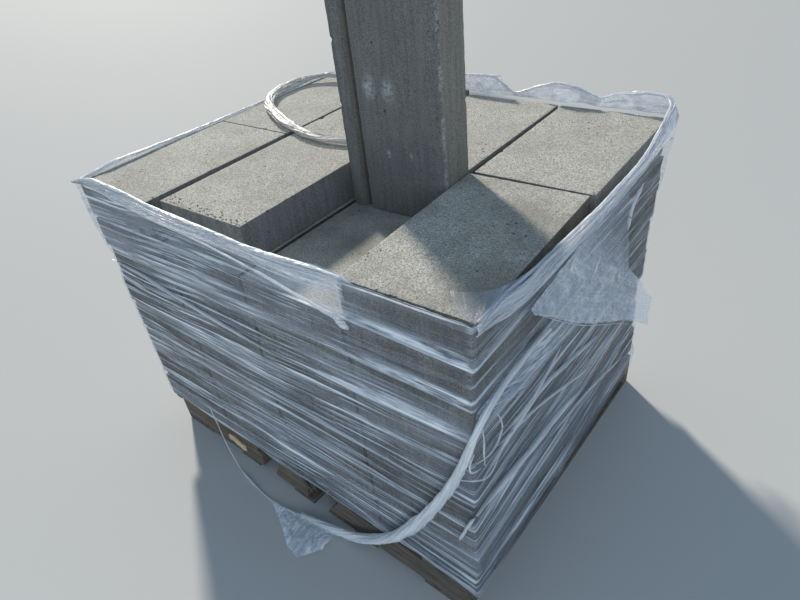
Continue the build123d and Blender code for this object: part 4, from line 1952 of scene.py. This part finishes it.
        return web_grid(columns, rows, place)

    def flap(self) -> None:
        """Builds the milky flap on the right side, its end standing out from the load."""
        lower = (
            (-0.325, 0.842), (-0.221, 0.763), (-0.097, 0.663), (0.020, 0.579), (0.155, 0.492),
            (0.260, 0.422), (0.364, 0.352), (0.450, 0.290), (0.523, 0.233),
        )
        upper = (
            (-0.318, 0.850), (-0.160, 0.868), (-0.020, 0.895), (0.120, 0.900), (0.235, 0.830),
            (0.250, 0.740), (0.335, 0.560), (0.440, 0.455), (0.585, 0.300),
        )

        def out(u: float, v: float, y: float, z: float) -> float:
            """Sets one point of the sheet off the film.

            Args:
                u: Share of the way along.
                v: Share of the way up.
                y: Its Y.
                z: Its height.

            Returns:
                Its distance from the film.
            """
            crinkle = abs(wave(y * 34.0, z * 34.0, 1.0)) + abs(wave(y * 14.0, z * 18.0, 6.0))
            free = (1.0 - v) ** 2 * 0.010 + max(0.0, u - 0.80) * 0.11
            low = 1.0 if v < 0.5 else 0.5
            return 0.004 + free + 0.006 * low * crinkle

        milky = FilmFinish(
            "crumpled_film", thin=0.36, thick=0.80, low=0.42, high=0.66, crumple=0.65, fade=0.21
        ).material()
        web = self.side_web(lower, upper, 170, 80, out)
        piece = add_piece("film_milky_flap", web, milky, ["film_flap"], smooth=True)

    def fan(self) -> None:
        """Builds the film that the tail's pull draws from the flap to the front corner."""
        lower = ((-0.010, 0.600), (-0.140, 0.605), (-0.290, 0.615), (-0.410, 0.655), (-0.512, 0.712))
        upper = ((-0.200, 0.746), (-0.300, 0.750), (-0.390, 0.748), (-0.450, 0.744), (-0.512, 0.738))

        def out(u: float, v: float, y: float, z: float) -> float:
            """Sets one point of the sheet off the film.

            Args:
                u: Share of the way along.
                v: Share of the way up.
                y: Its Y.
                z: Its height.

            Returns:
                Its distance from the film.
            """
            turn = 2.0 * math.pi * (5.0 * v + 0.7 * wave(u * 3.0, v, 2.0))
            return 0.0035 + 0.0025 * math.sin(turn) ** 2

        web = self.side_web(lower, upper, 70, 48, out)
        finish = FilmFinish("drawn_film", thin=0.16, thick=0.80, low=0.42, high=0.64)
        piece = add_piece("film_fan", web, finish.material(), smooth=True)

    def corner_veil(self) -> None:
        """Builds the film drawn over the top block's front right corner."""
        wrap = self.wrap
        top = wrap.top + 0.0035
        front = wrap.reach(Side.FRONT, 0.5, wrap.top - 0.005)
        right = wrap.reach(Side.RIGHT, -0.40, wrap.top)

        def place(u: float, v: float) -> tuple[Vector, Place]:
            """Puts one point of the web.

            Args:
                u: Share of the way along.
                v: Share of the way across.

            Returns:
                The point, and its UV in metres.
            """
            start = Vector((0.555 + 0.065 * v, front + 0.066 * (1.0 - v) ** 1.6, top))
            end = Vector((right, -0.345 - 0.10 * v, top + 0.012 * (1.0 - v)))
            corner = Vector((right - 0.012, front + 0.004, top))
            flat = start.lerp(end, u).lerp(corner, v)
            bow = 0.020 * math.sin(math.pi * u) * (1.0 - v)
            lift = abs(0.0015 * wave(u * 7.0, v * 5.0, 3.0)) + 0.003 * u * (1.0 - u)
            return flat + Vector((bow, -bow, lift)), (v * 0.3, (1.0 - u) * 0.2)

        web = web_grid(40, 24, place)
        bmesh.ops.remove_doubles(web, verts=web.verts, dist=1e-5)
        veil = FilmFinish("veil_film", thin=0.30, thick=0.66, low=0.44, high=0.70, fade=0.10).material()
        piece = add_piece("film_corner_veil", web, veil, smooth=True)

    def creases(self) -> None:
        """Builds the drawn folds that cross the film's sides."""
        for number, crease in enumerate(self.CREASES):
            route = [self.wrap.point(crease.side, along, z, crease.out) for along, z in crease.points]
            radius = crease.radius
            radii = ((0.0, 0.4 * radius), (0.2, radius), (0.8, radius), (1.0, 0.3 * radius))
            self.cord(crease.name, route, radii, folds=3, twist=1.0, flat=0.55, seed=30 + number)


@dataclass
class Studio:
    """A pale floor, soft lamps and a camera where the photographer stood.

    Attributes:
        camera_place: Where the camera is.
        camera_right: The picture's right, as a direction.
        camera_down: The picture's downward direction.
        lens: Its focal length, in mm.
        floor_size: Length of the floor's sides.
        floor_colour: The floor's colour.
        key_place: Where the key lamp is.
        key_power: Its strength.
        key_colour: Its colour.
        key_angle: How wide it looks, in degrees.
        fill_place: Where the fill lamp is.
        fill_power: Its power, in watts.
        fill_colour: Its colour.
        fill_size: Its width.
        sky: The world's colour.
        sky_strength: The world's strength.
        aim: The point that the lamps look at.
    """

    camera_place: Point = (1.0595, -1.1704, 1.5649)
    camera_right: Point = (0.794899, 0.598733, -0.098255)
    camera_down: Point = (0.289555, -0.516651, -0.805748)
    lens: float = 27.08
    floor_size: float = 60.0
    floor_colour: Colour = (0.52, 0.52, 0.51, 1.0)
    key_place: Point = (-9.36, 5.86, 5.58)
    key_power: float = 5.0
    key_colour: Point = (1.0, 0.94, 0.84)
    key_angle: float = 5.0
    fill_place: Point = (3.2, -4.4, 1.35)
    fill_power: float = 115.0
    fill_colour: Point = (0.78, 0.89, 1.0)
    fill_size: float = 4.0
    sky: Colour = (0.54, 0.75, 1.0, 1.0)
    sky_strength: float = 0.40
    aim: Point = (0.0, 0.0, 0.6)

    def build(self) -> None:
        """Sets the camera, the lamps, the floor and the world."""
        scene = bpy.context.scene
        scene.view_settings.view_transform = "Standard"
        scene.camera = self.camera()
        key = self.lamp("key_lamp", "SUN", self.key_place, self.key_power, self.key_colour)
        key.angle = math.radians(self.key_angle)
        fill = self.lamp("fill_lamp", "AREA", self.fill_place, self.fill_power, self.fill_colour)
        fill.size = self.fill_size
        self.floor()
        world = bpy.data.worlds.new("studio")
        world.use_nodes = True
        background = world.node_tree.nodes["Background"]
        background.inputs["Color"].default_value = self.sky
        background.inputs["Strength"].default_value = self.sky_strength
        scene.world = world

    def camera(self) -> bpy.types.Object:
        """Adds the camera.

        Returns:
            The camera's object.
        """
        right, down = Vector(self.camera_right), Vector(self.camera_down)
        forward = right.cross(down)
        turn = Matrix((right, -down, -forward)).transposed()
        data = bpy.data.cameras.new("camera")
        data.lens = self.lens
        data.clip_start = 0.02
        data.clip_end = 200.0
        camera = bpy.data.objects.new("camera", data)
        camera.matrix_world = Matrix.Translation(self.camera_place) @ turn.to_4x4()
        bpy.context.scene.collection.objects.link(camera)
        return camera

    def floor(self) -> None:
        """Adds the floor."""
        floor = bmesh.new()
        bmesh.ops.create_grid(floor, x_segments=1, y_segments=1, size=self.floor_size / 2)
        mesh = bpy.data.meshes.new("floor")
        floor.to_mesh(mesh)
        floor.free()
        mesh.materials.append(PlainFinish("pale_floor", self.floor_colour).material())
        ground = bpy.data.objects.new("floor", mesh)
        bpy.context.scene.collection.objects.link(ground)

    def lamp(self, name: str, kind: str, place: Point, power: float, colour: Point) -> bpy.types.Light:
        """Adds one lamp that looks at the load.

        Args:
            name: The lamp's name.
            kind: Blender's own name for its kind.
            place: Where it is.
            power: Its strength.
            colour: Its colour.

        Returns:
            The lamp's data.
        """
        data = bpy.data.lights.new(name, kind)
        data.energy = power
        data.color = colour
        lamp = bpy.data.objects.new(name, data)
        lamp.location = place
        turn = Vector(self.aim) - Vector(place)
        lamp.rotation_euler = turn.to_track_quat("-Z", "Y").to_euler()
        bpy.context.scene.collection.objects.link(lamp)
        return data


def main() -> None:
    """Builds the whole model."""
    logging.basicConfig(level=logging.INFO)
    Studio().build()
    BlockStack().build()
    Pallet().build()
    wrap = Wrap()
    wrap.build()
    LooseFilm(wrap).build()


if __name__ == "__main__":
    main()
